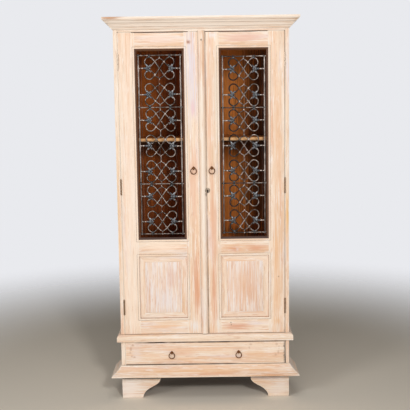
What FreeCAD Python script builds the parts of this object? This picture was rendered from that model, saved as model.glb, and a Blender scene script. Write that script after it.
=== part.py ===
import FreeCAD, Part
import math
import os

# Corner cabinet: a straight front with short square returns, two back walls at 45 degrees and a rear post.
# X runs to the right, Y to the back and Z up. The origin is under the middle of the whole box, on the floor.
# "depth" below is measured from the face of the case towards the back.

Vector = FreeCAD.Vector
UP = Vector(0, 0, 1)
BACKWARD = Vector(0, 1, 0)
RIGHTWARD = Vector(1, 0, 0)

os.makedirs("parts", exist_ok=True)

# Driving dimensions, millimetres

# Plan of the case
BODY_WIDTH = 872.0
RETURN_DEPTH = 200.0
REAR_POST_WIDTH = 90.0

# Boards of the case
SIDE_THICKNESS = 24.0
FACE_THICKNESS = 22.0
BACK_THICKNESS = 12.0
POST_THICKNESS = 22.0
TOP_THICKNESS = 18.0
BASE_THICKNESS = 22.0
CASE_STILE_WIDTH = 20.0
BACK_BOARDS_PER_WALL = 4
BOARD_GROOVE = 3.0

# Heights of the stages
FOOT_HEIGHT = 126.0
DRAWER_OPENING_HEIGHT = 129.0
WAIST_THICKNESS = 36.0
DOOR_OPENING_HEIGHT = 1538.0
FRIEZE_HEIGHT = 11.0

# Waist board
WAIST_REACH = 20.0
WAIST_NOSE = 16.0
NOSE_LIMIT = 0.9
SAME_PLACE = 0.001

# Plinth moulding, from its head down
PLINTH_HEAD_STEP = 3.0
PLINTH_SLOPE_OUT = 46.0
PLINTH_SLOPE_HEIGHT = 46.0
PLINTH_SLOPE_HOLLOW = 0.05
PLINTH_FILLET_HEIGHT = 6.0

# Cornice moulding, from its foot up
CORNICE_FOOT_STEP = 2.0
CORNICE_FOOT_BEAD_OUT = 11.0
CORNICE_FOOT_BEAD_HEIGHT = 13.0
CORNICE_COVE_OUT = 15.0
CORNICE_COVE_HEIGHT = 17.0
CORNICE_BEAD_OUT = 8.0
CORNICE_BEAD_HEIGHT = 10.0
CORNICE_CAP_OUT = 6.0
CORNICE_CAP_HEIGHT = 7.0
CORNICE_QUIRK = 2.0
CORNICE_CROWN_STEP = 1.0
CORNICE_CROWN_HEIGHT = 11.0
CORNICE_BULGE = 0.05

# Bracket feet
FOOT_BASE_WIDTH = 108.0
FOOT_SHOULDER_WIDTH = 200.0
FOOT_SHOULDER_HEIGHT = 100.0
FOOT_CURVE_LEAN = 4.0
FOOT_CURVE_RISE = 60.0

# Shelves and their cleats
UPPER_SHELF_TOP = 1011.0
LOWER_SHELF_TOP = 412.0
SHELF_THICKNESS = 17.0
SHELF_SETBACK = 42.0
CLEAT_WIDTH = 16.0
CLEAT_HEIGHT = 24.0

# Door leaves
DOOR_THICKNESS = 21.0
DOOR_GAP = 2.0
DOOR_HEAD_GAP = 3.5
HINGE_STILE_WIDTH = 81.0
MEETING_STILE_WIDTH = 68.0
TOP_RAIL_HEIGHT = 78.5
LOCK_RAIL_HEIGHT = 86.0
BOTTOM_RAIL_HEIGHT = 82.0
PANEL_OPENING_HEIGHT = 326.0
TENON_LENGTH = 30.0
TENON_THICKNESS = 7.0
TENON_SHOULDER = 10.0
BEAD_WIDTH = 9.0
BEAD_GROOVE = 1.6
ASTRAGAL_WIDTH = 36.0
ASTRAGAL_PROUD = 13.0
ASTRAGAL_OVERLAP = 7.5

# Raised panel
PANEL_TONGUE = 7.0
PANEL_TONGUE_THICKNESS = 6.0
PANEL_TONGUE_DEPTH = 9.0
PANEL_BEVEL = 31.0
PANEL_BEVEL_RISE = 4.0
PANEL_FIELD_RISE = 2.0
PANEL_PLAY = 0.2

# Iron grille
GRILLE_BAR = 7.0
GRILLE_DEPTH = 6.0
LEFT_GRILLE_FOOT_MARGIN = 28.5
LEFT_GRILLE_HEAD_MARGIN = 31.5
RIGHT_GRILLE_FOOT_MARGIN = 30.5
RIGHT_GRILLE_HEAD_MARGIN = 41.5
GRILLE_SIDE_INSET = 19.0
GRILLE_BAR_LET_IN = 10.0
MOTIF_COUNT = 7
MOTIF_COUNT_UNDER_BARS = (0, 2, 5, 7)
LOOP_RADIUS = 22.0
LOOP_OUT = 51.0
LOOP_UP = 32.0
CLASP_OUT = 60.0
CLASP_WIDTH = 36.0
CLASP_HEIGHT = 36.0
CLASP_THICKNESS = 10.0
CLASP_BULGE = 0.16
APEX_UP = 55.0

# Butt hinges
HINGE_INSET = 142.0
HINGE_LENGTH = 75.0
KNUCKLE_RADIUS = 3.5
KNUCKLE_COUNT = 5
KNUCKLE_GAP = 0.3
KNUCKLE_CLEARANCE = 0.4
HINGE_PROUD = 3.0
LEAF_THICKNESS = 2.0
LEAF_DEPTH = 18.0
LEAF_GAP = 0.4
PIN_RADIUS = 2.0
PIN_CLEARANCE = 0.05
PIN_HEAD_RADIUS = 3.0
PIN_HEAD_HEIGHT = 2.5

# Countersunk screws of the hinges
SCREW_RADIUS = 1.6
SCREW_HEAD_RADIUS = 3.0
SCREW_LENGTH = 14.0
SCREW_STAGGER = 5.0
SCREWS_PER_LEAF = 3
SCREW_SPACING = 26.0

# Ring pulls
RING_RADIUS = 14.7
RING_WIRE_RADIUS = 2.3
RING_PLAY = 0.55
EYE_WALL = 1.7
EYE_LENGTH = 5.0
EYE_OUT = 8.5
STUD_BASE = 15.0
STUD_TIP = 7.0
STUD_RISE = 5.0
STUD_TURN = 45.0
STUD_NAIL_RADIUS = 2.0
STUD_NAIL_LENGTH = 15.0
DOOR_PULL_OUT = 46.0
DOOR_PULL_HEIGHT = 858.0
DRAWER_PULL_OUT = 174.0

# Lock of the right door
KEYHOLE_FROM_ASTRAGAL = 5.0
KEYHOLE_HEIGHT = 744.0
KEYHOLE_EYE_RADIUS = 3.3
KEYHOLE_SLOT_WIDTH = 5.0
KEYHOLE_SLOT_LENGTH = 11.0
ESCUTCHEON_RADIUS = 13.0
ESCUTCHEON_THICKNESS = 1.5
LOCK_WIDTH = 60.0
LOCK_HEIGHT = 64.0
LOCK_DEPTH = 14.0
LOCK_WALL = 2.0
LOCK_EDGE_SETBACK = 1.0
BOLT_HEIGHT = 12.0
BOLT_THICKNESS = 6.0
BOLT_LENGTH = 38.0
BOLT_ABOVE_KEYHOLE = 12.0
BOLT_CLEARANCE = 0.3
KEEPER_WIDTH = 14.0
KEEPER_WALL = 3.0
KEEPER_EDGE_SETBACK = 0.5
KEEPER_PLAY = 0.6

# Inside bolt at the foot of the left door
ROD_RADIUS = 4.0
ROD_CLEARANCE = 0.06
ROD_LENGTH = 104.0
ROD_LIFT = 3.0
ROD_OUT = 8.0
ROD_FROM_OPENING = 38.0
ROD_PLATE_WIDTH = 24.0
ROD_PLATE_THICKNESS = 2.0
ROD_PLATE_LENGTH = 110.0
STAPLE_WIDTH = 14.0
STAPLE_HEIGHT = 12.0
STAPLE_WALL = 2.0
STAPLE_INSET = 8.0
ROD_KNOB_RADIUS = 3.0
ROD_KNOB_LENGTH = 10.0
ROD_SOCKET_PLAY = 0.6
ROD_SOCKET_DEPTH = 16.0

# Drawer
DRAWER_GAP = 2.5
DRAWER_HEAD_GAP = 3.5
DRAWER_FRONT_THICKNESS = 22.0
DRAWER_SIDE_THICKNESS = 12.0
DRAWER_SIDE_HEIGHT = 113.0
DRAWER_DEPTH = 420.0
DRAWER_WALL_CLEARANCE = 10.0
DRAWER_BOTTOM_THICKNESS = 8.0
DRAWER_BOTTOM_LIFT = 10.0
DRAWER_GROOVE = 5.0
DRAWER_RUNNING_GAP = 0.3
GUIDE_THICKNESS = 6.0
GUIDE_HEIGHT = 32.0
GUIDE_GAP = 0.6
KICKER_GAP = 1.5
KICKER_WIDTH = 20.0
STOP_WIDTH = 60.0
STOP_LENGTH = 20.0
STOP_HEIGHT = 28.0
STOP_GAP = 0.6

# Places that follow from the dimensions

half_body = BODY_WIDTH / 2
half_inside = half_body - SIDE_THICKNESS
half_opening = half_body - CASE_STILE_WIDTH
wall_sum = half_body + RETURN_DEPTH
rear_depth = wall_sum - REAR_POST_WIDTH / 2
post_front = rear_depth - POST_THICKNESS

plinth_reach = PLINTH_HEAD_STEP + PLINTH_SLOPE_OUT
plinth_height = PLINTH_SLOPE_HEIGHT + PLINTH_FILLET_HEIGHT
cornice_reach = (
    CORNICE_FOOT_STEP
    + CORNICE_FOOT_BEAD_OUT
    + CORNICE_QUIRK
    + CORNICE_COVE_OUT
    + CORNICE_QUIRK
    + CORNICE_BEAD_OUT
    + CORNICE_QUIRK
    + CORNICE_CAP_OUT
    + CORNICE_CROWN_STEP
)
cornice_height = (
    CORNICE_FOOT_BEAD_HEIGHT
    + CORNICE_COVE_HEIGHT
    + CORNICE_BEAD_HEIGHT
    + CORNICE_CAP_HEIGHT
    + CORNICE_CROWN_HEIGHT
)
front_reach = max(plinth_reach, cornice_reach, WAIST_REACH)
face_y = (front_reach - rear_depth) / 2

plinth_top = FOOT_HEIGHT + plinth_height
waist_bottom = plinth_top + DRAWER_OPENING_HEIGHT
waist_top = waist_bottom + WAIST_THICKNESS
frieze_bottom = waist_top + DOOR_OPENING_HEIGHT
cornice_bottom = frieze_bottom + FRIEZE_HEIGHT
top = cornice_bottom + cornice_height
top_board_bottom = top - TOP_THICKNESS

door_bottom = waist_top + DOOR_GAP
door_top = frieze_bottom - DOOR_HEAD_GAP
hinge_edge = half_opening - DOOR_GAP
opening_outer = hinge_edge - HINGE_STILE_WIDTH
opening_inner = ASTRAGAL_WIDTH / 2 + MEETING_STILE_WIDTH
panel_bottom = door_bottom + BOTTOM_RAIL_HEIGHT
panel_top = panel_bottom + PANEL_OPENING_HEIGHT
grille_bottom = panel_top + LOCK_RAIL_HEIGHT
grille_top = door_top - TOP_RAIL_HEIGHT
hinge_heights = (door_bottom + HINGE_INSET, (door_bottom + door_top) / 2, door_top - HINGE_INSET)
hinge_axis_x = half_opening - DOOR_GAP / 2


# Building helpers


def at(x, depth, z):
    """A point given across the front, back from the face and up from the floor."""
    return Vector(x, face_y + depth, z)


def box(x_range, depth_range, z_range):
    """A block between two values across, two back from the face and two up."""
    x0, x1 = sorted(x_range)
    d0, d1 = sorted(depth_range)
    z0, z1 = sorted(z_range)
    return Part.makeBox(x1 - x0, d1 - d0, z1 - z0, at(x0, d0, z0))


def prism(outline, z0, z1):
    """A straight column over a plan outline of (x, depth) corners."""
    corners = [at(x, depth, z0) for x, depth in outline]
    return Part.Face(Part.makePolygon(corners + corners[:1])).extrude(UP * (z1 - z0))


def wall_line(inset):
    """Value of x + depth on the back wall, moved inwards by a distance."""
    return wall_sum - inset * math.sqrt(2)


def home_plate(half_width, front, inset, rear):
    """Plan outline with a straight front, square sides, two 45 degree walls and a rear flat."""
    reach = wall_line(inset)
    right = [(half_width, front), (half_width, reach - half_width), (reach - rear, rear)]
    left = [(-x, depth) for x, depth in reversed(right)]
    return right + left


def outline_face(points, place):
    """A face from (u, v, bulge) points: bulge bends the edge that ends there, as a share of its length."""
    edges = []
    for (u0, v0, _), (u1, v1, bulge) in zip(points[-1:] + points[:-1], points):
        start = place(u0, v0)
        end = place(u1, v1)
        if bulge:
            middle = place((u0 + u1) / 2 + bulge * (v1 - v0), (v0 + v1) / 2 - bulge * (u1 - u0))
            edges.append(Part.Arc(start, middle, end).toShape())
        else:
            edges.append(Part.makeLine(start, end))
    return Part.Face(Part.Wire(edges))


def rod_along(direction, radius, length, point):
    """A round bar from a point along a direction."""
    return Part.makeCylinder(radius, length, point, direction)


def mirrored(shape):
    """The same piece on the other side of the cabinet."""
    return shape.mirror(Vector(0, 0, 0), RIGHTWARD)


def write(node, *shapes):
    """Writes the solids of one named piece, or of a group of like pieces."""
    solids = [solid for shape in shapes for solid in shape.Solids]
    whole = solids[0] if len(solids) == 1 else Part.makeCompound(solids)
    whole.exportStep(f"parts/{node}.step")


# Case


def side_panels():
    """Upper and lower board of the right case side, with the rear edge cut on the wall."""
    outline = [
        (half_body, FACE_THICKNESS),
        (half_body, wall_sum - half_body),
        (half_inside, wall_sum - half_inside),
        (half_inside, FACE_THICKNESS),
    ]
    return [prism(outline, FOOT_HEIGHT, waist_bottom), prism(outline, waist_top, top_board_bottom)]


def back_boards():
    """Vertical boards of the right back wall, above and below the waist, with grooves at their joints."""
    outer = wall_line(0)
    inner = wall_line(BACK_THICKNESS)
    wall = [
        (half_inside, outer - half_inside),
        (outer - post_front, post_front),
        (inner - post_front, post_front),
        (half_inside, inner - half_inside),
    ]
    run_start = (inner - half_inside) - half_inside
    run_end = post_front - (outer - post_front)
    step = (run_end - run_start) / BACK_BOARDS_PER_WALL

    def across(total, run):
        return ((total - run) / 2, (total + run) / 2)

    boards = []
    for z0, z1 in ((FOOT_HEIGHT, waist_bottom), (waist_top, top_board_bottom)):
        whole = prism(wall, z0, z1)
        for joint in range(1, BACK_BOARDS_PER_WALL):
            run = run_start + joint * step
            groove = [
                across(inner, run - BOARD_GROOVE),
                across(inner, run + BOARD_GROOVE),
                across(inner + BOARD_GROOVE, run),
            ]
            whole = whole.cut(prism(groove, z0, z1))
        for index in range(BACK_BOARDS_PER_WALL):
            start = run_start + index * step if index else -wall_sum
            end = run_start + (index + 1) * step if index + 1 < BACK_BOARDS_PER_WALL else wall_sum
            strip = [across(outer, start), across(outer, end), across(inner, end), across(inner, start)]
            boards.append(whole.common(prism(strip, z0, z1)))
    return boards


def rear_post():
    """Post where the back walls meet: the lower length stands on the floor as the rear foot."""
    reach = wall_line(0)
    outline = [
        (REAR_POST_WIDTH / 2, rear_depth),
        (reach - post_front, post_front),
        (post_front - reach, post_front),
        (-REAR_POST_WIDTH / 2, rear_depth),
    ]
    return [prism(outline, 0, waist_bottom), prism(outline, waist_top, top_board_bottom)]


def case_stiles():
    """Lower and upper face stile at the right of the front."""
    across = (half_opening, half_body)
    through = (0, FACE_THICKNESS)
    return [
        box(across, through, (plinth_top, waist_bottom)),
        box(across, through, (waist_top, top_board_bottom)),
    ]


def waist_board():
    """Full-depth board between drawer and doors, its upper edge rounded at the front and the returns."""
    half = half_body + WAIST_REACH
    board = prism(home_plate(half, -WAIST_REACH, 0, rear_depth), waist_bottom, waist_top)
    front = face_y - WAIST_REACH
    nosed = []
    for edge in board.Edges:
        first, last = (vertex.Point for vertex in edge.Vertexes)
        upper = abs(first.z - waist_top) < SAME_PLACE and abs(last.z - waist_top) < SAME_PLACE
        on_front = abs(first.y - front) < SAME_PLACE and abs(last.y - front) < SAME_PLACE
        on_side = abs(abs(first.x) - half) < SAME_PLACE and abs(abs(last.x) - half) < SAME_PLACE
        if upper and (on_front or on_side):
            nosed.append(edge)
    return board.makeFillet(min(WAIST_NOSE, NOSE_LIMIT * WAIST_REACH, NOSE_LIMIT * WAIST_THICKNESS), nosed)


def run_of_moulding(points, reach):
    """Front length and right return of a moulding, mitred at the corner and cut on the wall."""
    z_low = min(v for _, v, _ in points)
    z_high = max(v for _, v, _ in points)
    far = half_body + reach
    front_zone = [(-half_body, 0), (half_body, 0), (far, -reach), (-far, -reach)]
    side_zone = [
        (half_body, 0),
        (far, -reach),
        (far, wall_sum - far),
        (half_body, wall_sum - half_body),
    ]
    front_face = outline_face(points, lambda out, z: at(-far, -out, z))
    front = front_face.extrude(RIGHTWARD * (2 * far)).common(prism(front_zone, z_low, z_high))
    side_face = outline_face(points, lambda out, z: at(half_body + out, -reach, z))
    side = side_face.extrude(BACKWARD * (reach + wall_sum)).common(prism(side_zone, z_low, z_high))
    return front, side


def plinth_moulding():
    """Plinth moulding on the base rail: a square edge under a long, slightly hollow slope."""
    slope_foot = FOOT_HEIGHT + PLINTH_FILLET_HEIGHT
    points = [
        (0, FOOT_HEIGHT, 0),
        (plinth_reach, FOOT_HEIGHT, 0),
        (plinth_reach, slope_foot, 0),
        (PLINTH_HEAD_STEP, plinth_top, -PLINTH_SLOPE_HOLLOW),
        (0, plinth_top, 0),
    ]
    return run_of_moulding(points, plinth_reach)


def cornice_moulding():
    """Cornice under the top: foot bead, cove, bead and cap lean out one above the other under a square crown."""
    z = cornice_bottom
    out = CORNICE_FOOT_STEP
    points = [(0, z, 0), (out, z, 0)]
    z += CORNICE_FOOT_BEAD_HEIGHT
    out += CORNICE_FOOT_BEAD_OUT
    points.append((out, z, CORNICE_BULGE))
    out += CORNICE_QUIRK
    points.append((out, z, 0))
    z += CORNICE_COVE_HEIGHT
    out += CORNICE_COVE_OUT
    points.append((out, z, -CORNICE_BULGE))
    out += CORNICE_QUIRK
    points.append((out, z, 0))
    z += CORNICE_BEAD_HEIGHT
    out += CORNICE_BEAD_OUT
    points.append((out, z, CORNICE_BULGE))
    out += CORNICE_QUIRK
    points.append((out, z, 0))
    z += CORNICE_CAP_HEIGHT
    out += CORNICE_CAP_OUT
    points.append((out, z, 0))
    out += CORNICE_CROWN_STEP
    points.append((out, z, 0))
    z += CORNICE_CROWN_HEIGHT
    points.append((out, z, 0))
    points.append((0, z, 0))
    return run_of_moulding(points, cornice_reach)


def foot_brackets():
    """Front and side board of the right bracket foot, each with an ogee cut."""
    shoulder = FOOT_SHOULDER_WIDTH

    def bracket(place, thickness):
        curve = Part.BezierCurve()
        curve.setPoles([
            place(FOOT_BASE_WIDTH, 0),
            place(FOOT_BASE_WIDTH + FOOT_CURVE_LEAN, FOOT_CURVE_RISE),
            place(shoulder - FOOT_CURVE_LEAN, FOOT_CURVE_RISE),
            place(shoulder, FOOT_SHOULDER_HEIGHT),
        ])
        corners = [
            place(shoulder, FOOT_SHOULDER_HEIGHT),
            place(shoulder, FOOT_HEIGHT),
            place(0, FOOT_HEIGHT),
            place(0, 0),
            place(FOOT_BASE_WIDTH, 0),
        ]
        edges = [curve.toShape()] + [Part.makeLine(a, b) for a, b in zip(corners, corners[1:])]
        return Part.Face(Part.Wire(edges)).extrude(thickness)

    front = bracket(lambda width, z: at(half_body - width, 0, z), BACKWARD * FACE_THICKNESS)
    side = bracket(lambda width, z: at(half_inside, width, z), RIGHTWARD * SIDE_THICKNESS)
    behind_front = prism(home_plate(half_body, FACE_THICKNESS, 0, rear_depth), 0, FOOT_HEIGHT)
    return [front, side.common(behind_front)]


def inside_board(front, z0, z1):
    """A level board that fills the plan of the case from a front line back to the walls."""
    return prism(home_plate(half_inside, front, BACK_THICKNESS, post_front), z0, z1)


def shelf_cleats():
    """Strips under each shelf, on the case sides and on the back walls."""
    inner = wall_line(BACK_THICKNESS)
    strip = wall_line(BACK_THICKNESS + CLEAT_WIDTH)
    side_end = strip - half_inside
    wall_end = post_front - CLEAT_WIDTH
    on_wall = [
        (half_inside - CLEAT_WIDTH, inner - half_inside + CLEAT_WIDTH),
        (inner - wall_end, wall_end),
        (strip - wall_end, wall_end),
        (half_inside - CLEAT_WIDTH, strip - half_inside + CLEAT_WIDTH),
    ]
    cleats = []
    for shelf_top in (LOWER_SHELF_TOP, UPPER_SHELF_TOP):
        under = waist_top + shelf_top - SHELF_THICKNESS
        span = (under - CLEAT_HEIGHT, under)
        side = box((half_inside - CLEAT_WIDTH, half_inside), (SHELF_SETBACK, side_end), span)
        wall = prism(on_wall, *span)
        cleats += [side, wall, mirrored(side), mirrored(wall)]
    return cleats


def drawer_fittings():
    """Guides beside the drawer, kickers over its sides and a stop behind it."""
    side_face = half_inside - GUIDE_THICKNESS
    straight_end = wall_line(BACK_THICKNESS) - half_inside
    along = (FACE_THICKNESS, straight_end)
    guide = box((side_face, half_inside), along, (plinth_top, plinth_top + GUIDE_HEIGHT))
    kicker_bottom = plinth_top + DRAWER_RUNNING_GAP + DRAWER_SIDE_HEIGHT + KICKER_GAP
    kicker = box((half_inside - KICKER_WIDTH, half_inside), along, (kicker_bottom, waist_bottom))
    stop_front = DRAWER_DEPTH + STOP_GAP
    stop = box(
        (-STOP_WIDTH / 2, STOP_WIDTH / 2),
        (stop_front, stop_front + STOP_LENGTH),
        (plinth_top, plinth_top + STOP_HEIGHT),
    )
    return [guide, kicker, mirrored(guide), mirrored(kicker), stop]


# Hinges


def hinge_leaf(z_middle, for_door):
    """One leaf of a right-hand hinge with its knuckles, and the room that it needs in the wood."""
    near = LEAF_GAP / 2
    far = near + LEAF_THICKNESS
    hand = -1 if for_door else 1
    across = (hinge_axis_x + hand * near, hinge_axis_x + hand * far)
    leaf_front = KNUCKLE_RADIUS - HINGE_PROUD + KNUCKLE_CLEARANCE
    z_low = z_middle - HINGE_LENGTH / 2
    z_high = z_middle + HINGE_LENGTH / 2
    plate = box(across, (leaf_front, LEAF_DEPTH), (z_low, z_high))
    pitch = HINGE_LENGTH / KNUCKLE_COUNT
    bore = PIN_RADIUS + (PIN_CLEARANCE if for_door else 0)
    leaf = plate
    for index in range(1 if for_door else 0, KNUCKLE_COUNT, 2):
        low = z_low + index * pitch + KNUCKLE_GAP / 2
        height = pitch - KNUCKLE_GAP
        tube = rod_along(UP, KNUCKLE_RADIUS, height, at(hinge_axis_x, -HINGE_PROUD, low))
        tongue = box(across, (-HINGE_PROUD, leaf_front), (low, low + height))
        leaf = leaf.fuse(tube).fuse(tongue)
    leaf = leaf.cut(rod_along(UP, bore, HINGE_LENGTH, at(hinge_axis_x, -HINGE_PROUD, z_low)))
    room_radius = KNUCKLE_RADIUS + KNUCKLE_CLEARANCE
    room = rod_along(UP, room_radius, HINGE_LENGTH, at(hinge_axis_x, -HINGE_PROUD, z_low))
    slot = box(across, (-HINGE_PROUD, LEAF_DEPTH), (z_low, z_high))
    return leaf.removeSplitter(), room.fuse(slot)


def hinge_pin(z_middle):
    """Headed pin through the knuckles of a right-hand hinge."""
    foot = at(hinge_axis_x, -HINGE_PROUD, z_middle - HINGE_LENGTH / 2)
    head_low = foot + UP * (-PIN_HEAD_HEIGHT)
    shank = rod_along(UP, PIN_RADIUS, HINGE_LENGTH, foot)
    lower = rod_along(UP, PIN_HEAD_RADIUS, PIN_HEAD_HEIGHT, head_low)
    upper = rod_along(UP, PIN_HEAD_RADIUS, PIN_HEAD_HEIGHT, foot + UP * HINGE_LENGTH)
    return shank.fuse([lower, upper]).removeSplitter()


def hinge_screws(z_middle, for_door):
    """Countersunk screws of one right-hand leaf, heads flush with the leaf."""
    hand = -1 if for_door else 1
    direction = RIGHTWARD * hand
    leaf_front = KNUCKLE_RADIUS - HINGE_PROUD + KNUCKLE_CLEARANCE
    middle = (leaf_front + LEAF_DEPTH) / 2
    screws = []
    for index in range(SCREWS_PER_LEAF):
        offset = index - (SCREWS_PER_LEAF - 1) / 2
        depth = middle + (SCREW_STAGGER / 2 if index % 2 else -SCREW_STAGGER / 2)
        head = at(hinge_axis_x + hand * LEAF_GAP / 2, depth, z_middle + offset * SCREW_SPACING)
        cone = Part.makeCone(SCREW_HEAD_RADIUS, SCREW_RADIUS, LEAF_THICKNESS, head, direction)
        shank = rod_along(direction, SCREW_RADIUS, SCREW_LENGTH, head)
        screws.append(cone.fuse(shank).removeSplitter())
    return screws


case_leaves = []
door_leaves = []
pins = []
case_screws = []
door_screws = []
case_mortises = []
door_mortises = []
for height in hinge_heights:
    leaf, mortise = hinge_leaf(height, False)
    screws = hinge_screws(height, False)
    case_leaves.append(leaf.cut(Part.makeCompound(screws)))
    case_screws += screws
    case_mortises += [mortise] + screws
    leaf, mortise = hinge_leaf(height, True)
    screws = hinge_screws(height, True)
    door_leaves.append(leaf.cut(Part.makeCompound(screws)))
    door_screws += screws
    door_mortises += [mortise] + screws
    pins.append(hinge_pin(height))


# Ring pulls


def pull_stud(x, z):
    """Pyramid stud set on its corner, with an eye for the ring and a nail into the wood behind the face."""
    hole = RING_WIRE_RADIUS + RING_PLAY
    half_base = STUD_BASE / 2
    half_tip = STUD_TIP / 2
    pyramid = Part.makeWedge(
        x - half_tip, face_y - STUD_RISE, z - half_tip, z - half_base, x - half_base,
        x + half_tip, face_y, z + half_tip, z + half_base, x + half_base,
    )
    pyramid.rotate(at(x, 0, z), BACKWARD, STUD_TURN)
    neck = box((x - EYE_LENGTH / 2, x + EYE_LENGTH / 2), (-EYE_OUT, 0), (z - half_tip, z + half_tip))
    eye_start = at(x - EYE_LENGTH / 2, -EYE_OUT, z)
    eye = rod_along(RIGHTWARD, hole + EYE_WALL, EYE_LENGTH, eye_start)
    passage = rod_along(RIGHTWARD, hole, STUD_BASE, at(x - half_base, -EYE_OUT, z))
    nail = rod_along(BACKWARD, STUD_NAIL_RADIUS, STUD_NAIL_LENGTH, at(x, 0, z))
    stud = pyramid.fuse([neck, eye]).cut(passage).fuse(nail).removeSplitter()
    return stud, nail


def pull_ring(x, z):
    """Round ring that hangs in the eye of a stud."""
    return Part.makeTorus(RING_RADIUS, RING_WIRE_RADIUS, at(x, -EYE_OUT, z - RING_RADIUS), BACKWARD)


# Doors


def bead_grooves(x_range, z_range):
    """Quirk lines that set off a bead round an opening, cut into the face of the frame."""
    x0, x1 = sorted(x_range)
    z0, z1 = sorted(z_range)
    near = BEAD_WIDTH
    far = BEAD_WIDTH + BEAD_GROOVE
    depth = (0, BEAD_GROOVE)
    return [
        box((x0 - far, x0 - near), depth, (z0 - far, z1 + far)),
        box((x1 + near, x1 + far), depth, (z0 - far, z1 + far)),
        box((x0 - far, x1 + far), depth, (z0 - far, z0 - near)),
        box((x0 - far, x1 + far), depth, (z1 + near, z1 + far)),
    ]


def raised_panel(x_range):
    """Panel with a tongue all round, sloped borders and a raised field."""
    x0, x1 = sorted(x_range)
    tongue = box(
        (x0 - PANEL_TONGUE, x1 + PANEL_TONGUE),
        (PANEL_TONGUE_DEPTH, PANEL_TONGUE_DEPTH + PANEL_TONGUE_THICKNESS),
        (panel_bottom - PANEL_TONGUE, panel_top + PANEL_TONGUE),
    )
    field_x = (x0 + PANEL_BEVEL, x1 - PANEL_BEVEL)
    field_z = (panel_bottom + PANEL_BEVEL, panel_top - PANEL_BEVEL)
    slope_face = PANEL_TONGUE_DEPTH - PANEL_BEVEL_RISE
    slopes = Part.makeWedge(
        field_x[0], face_y + slope_face, field_z[0], panel_bottom, x0,
        field_x[1], face_y + PANEL_TONGUE_DEPTH, field_z[1], panel_top, x1,
    )
    field = box(field_x, (slope_face - PANEL_FIELD_RISE, slope_face), field_z)
    groove = box(
        (x0 - PANEL_TONGUE - PANEL_PLAY, x1 + PANEL_TONGUE + PANEL_PLAY),
        (PANEL_TONGUE_DEPTH - PANEL_PLAY, PANEL_TONGUE_DEPTH + PANEL_TONGUE_THICKNESS + PANEL_PLAY),
        (panel_bottom - PANEL_TONGUE - PANEL_PLAY, panel_top + PANEL_TONGUE + PANEL_PLAY),
    )
    return tongue.fuse([slopes, field]).removeSplitter(), groove


def flat_bar(start, end, depth):
    """Straight flat bar between two (x, z) points, one bar deep, starting at a depth."""
    run_x = end[0] - start[0]
    run_z = end[1] - start[1]
    length = math.hypot(run_x, run_z)
    side_x = -run_z / length * GRILLE_BAR / 2
    side_z = run_x / length * GRILLE_BAR / 2
    corners = [
        at(start[0] + side_x, depth, start[1] + side_z),
        at(end[0] + side_x, depth, end[1] + side_z),
        at(end[0] - side_x, depth, end[1] - side_z),
        at(start[0] - side_x, depth, start[1] - side_z),
    ]
    return Part.Face(Part.makePolygon(corners + corners[:1])).extrude(BACKWARD * GRILLE_BAR)


def round_bar(centre, first_angle, last_angle, depth):
    """Flat bar bent to a loop between two angles about an (x, z) centre."""

    def on(radius, angle):
        return at(centre[0] + radius * math.cos(angle), depth, centre[1] + radius * math.sin(angle))

    middle = (first_angle + last_angle) / 2
    outer = LOOP_RADIUS + GRILLE_BAR / 2
    inner = LOOP_RADIUS - GRILLE_BAR / 2
    edges = [
        Part.Arc(on(outer, first_angle), on(outer, middle), on(outer, last_angle)).toShape(),
        Part.makeLine(on(outer, last_angle), on(inner, last_angle)),
        Part.Arc(on(inner, last_angle), on(inner, middle), on(inner, first_angle)).toShape(),
        Part.makeLine(on(inner, first_angle), on(outer, first_angle)),
    ]
    return Part.Face(Part.Wire(edges)).extrude(BACKWARD * GRILLE_BAR)


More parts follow.
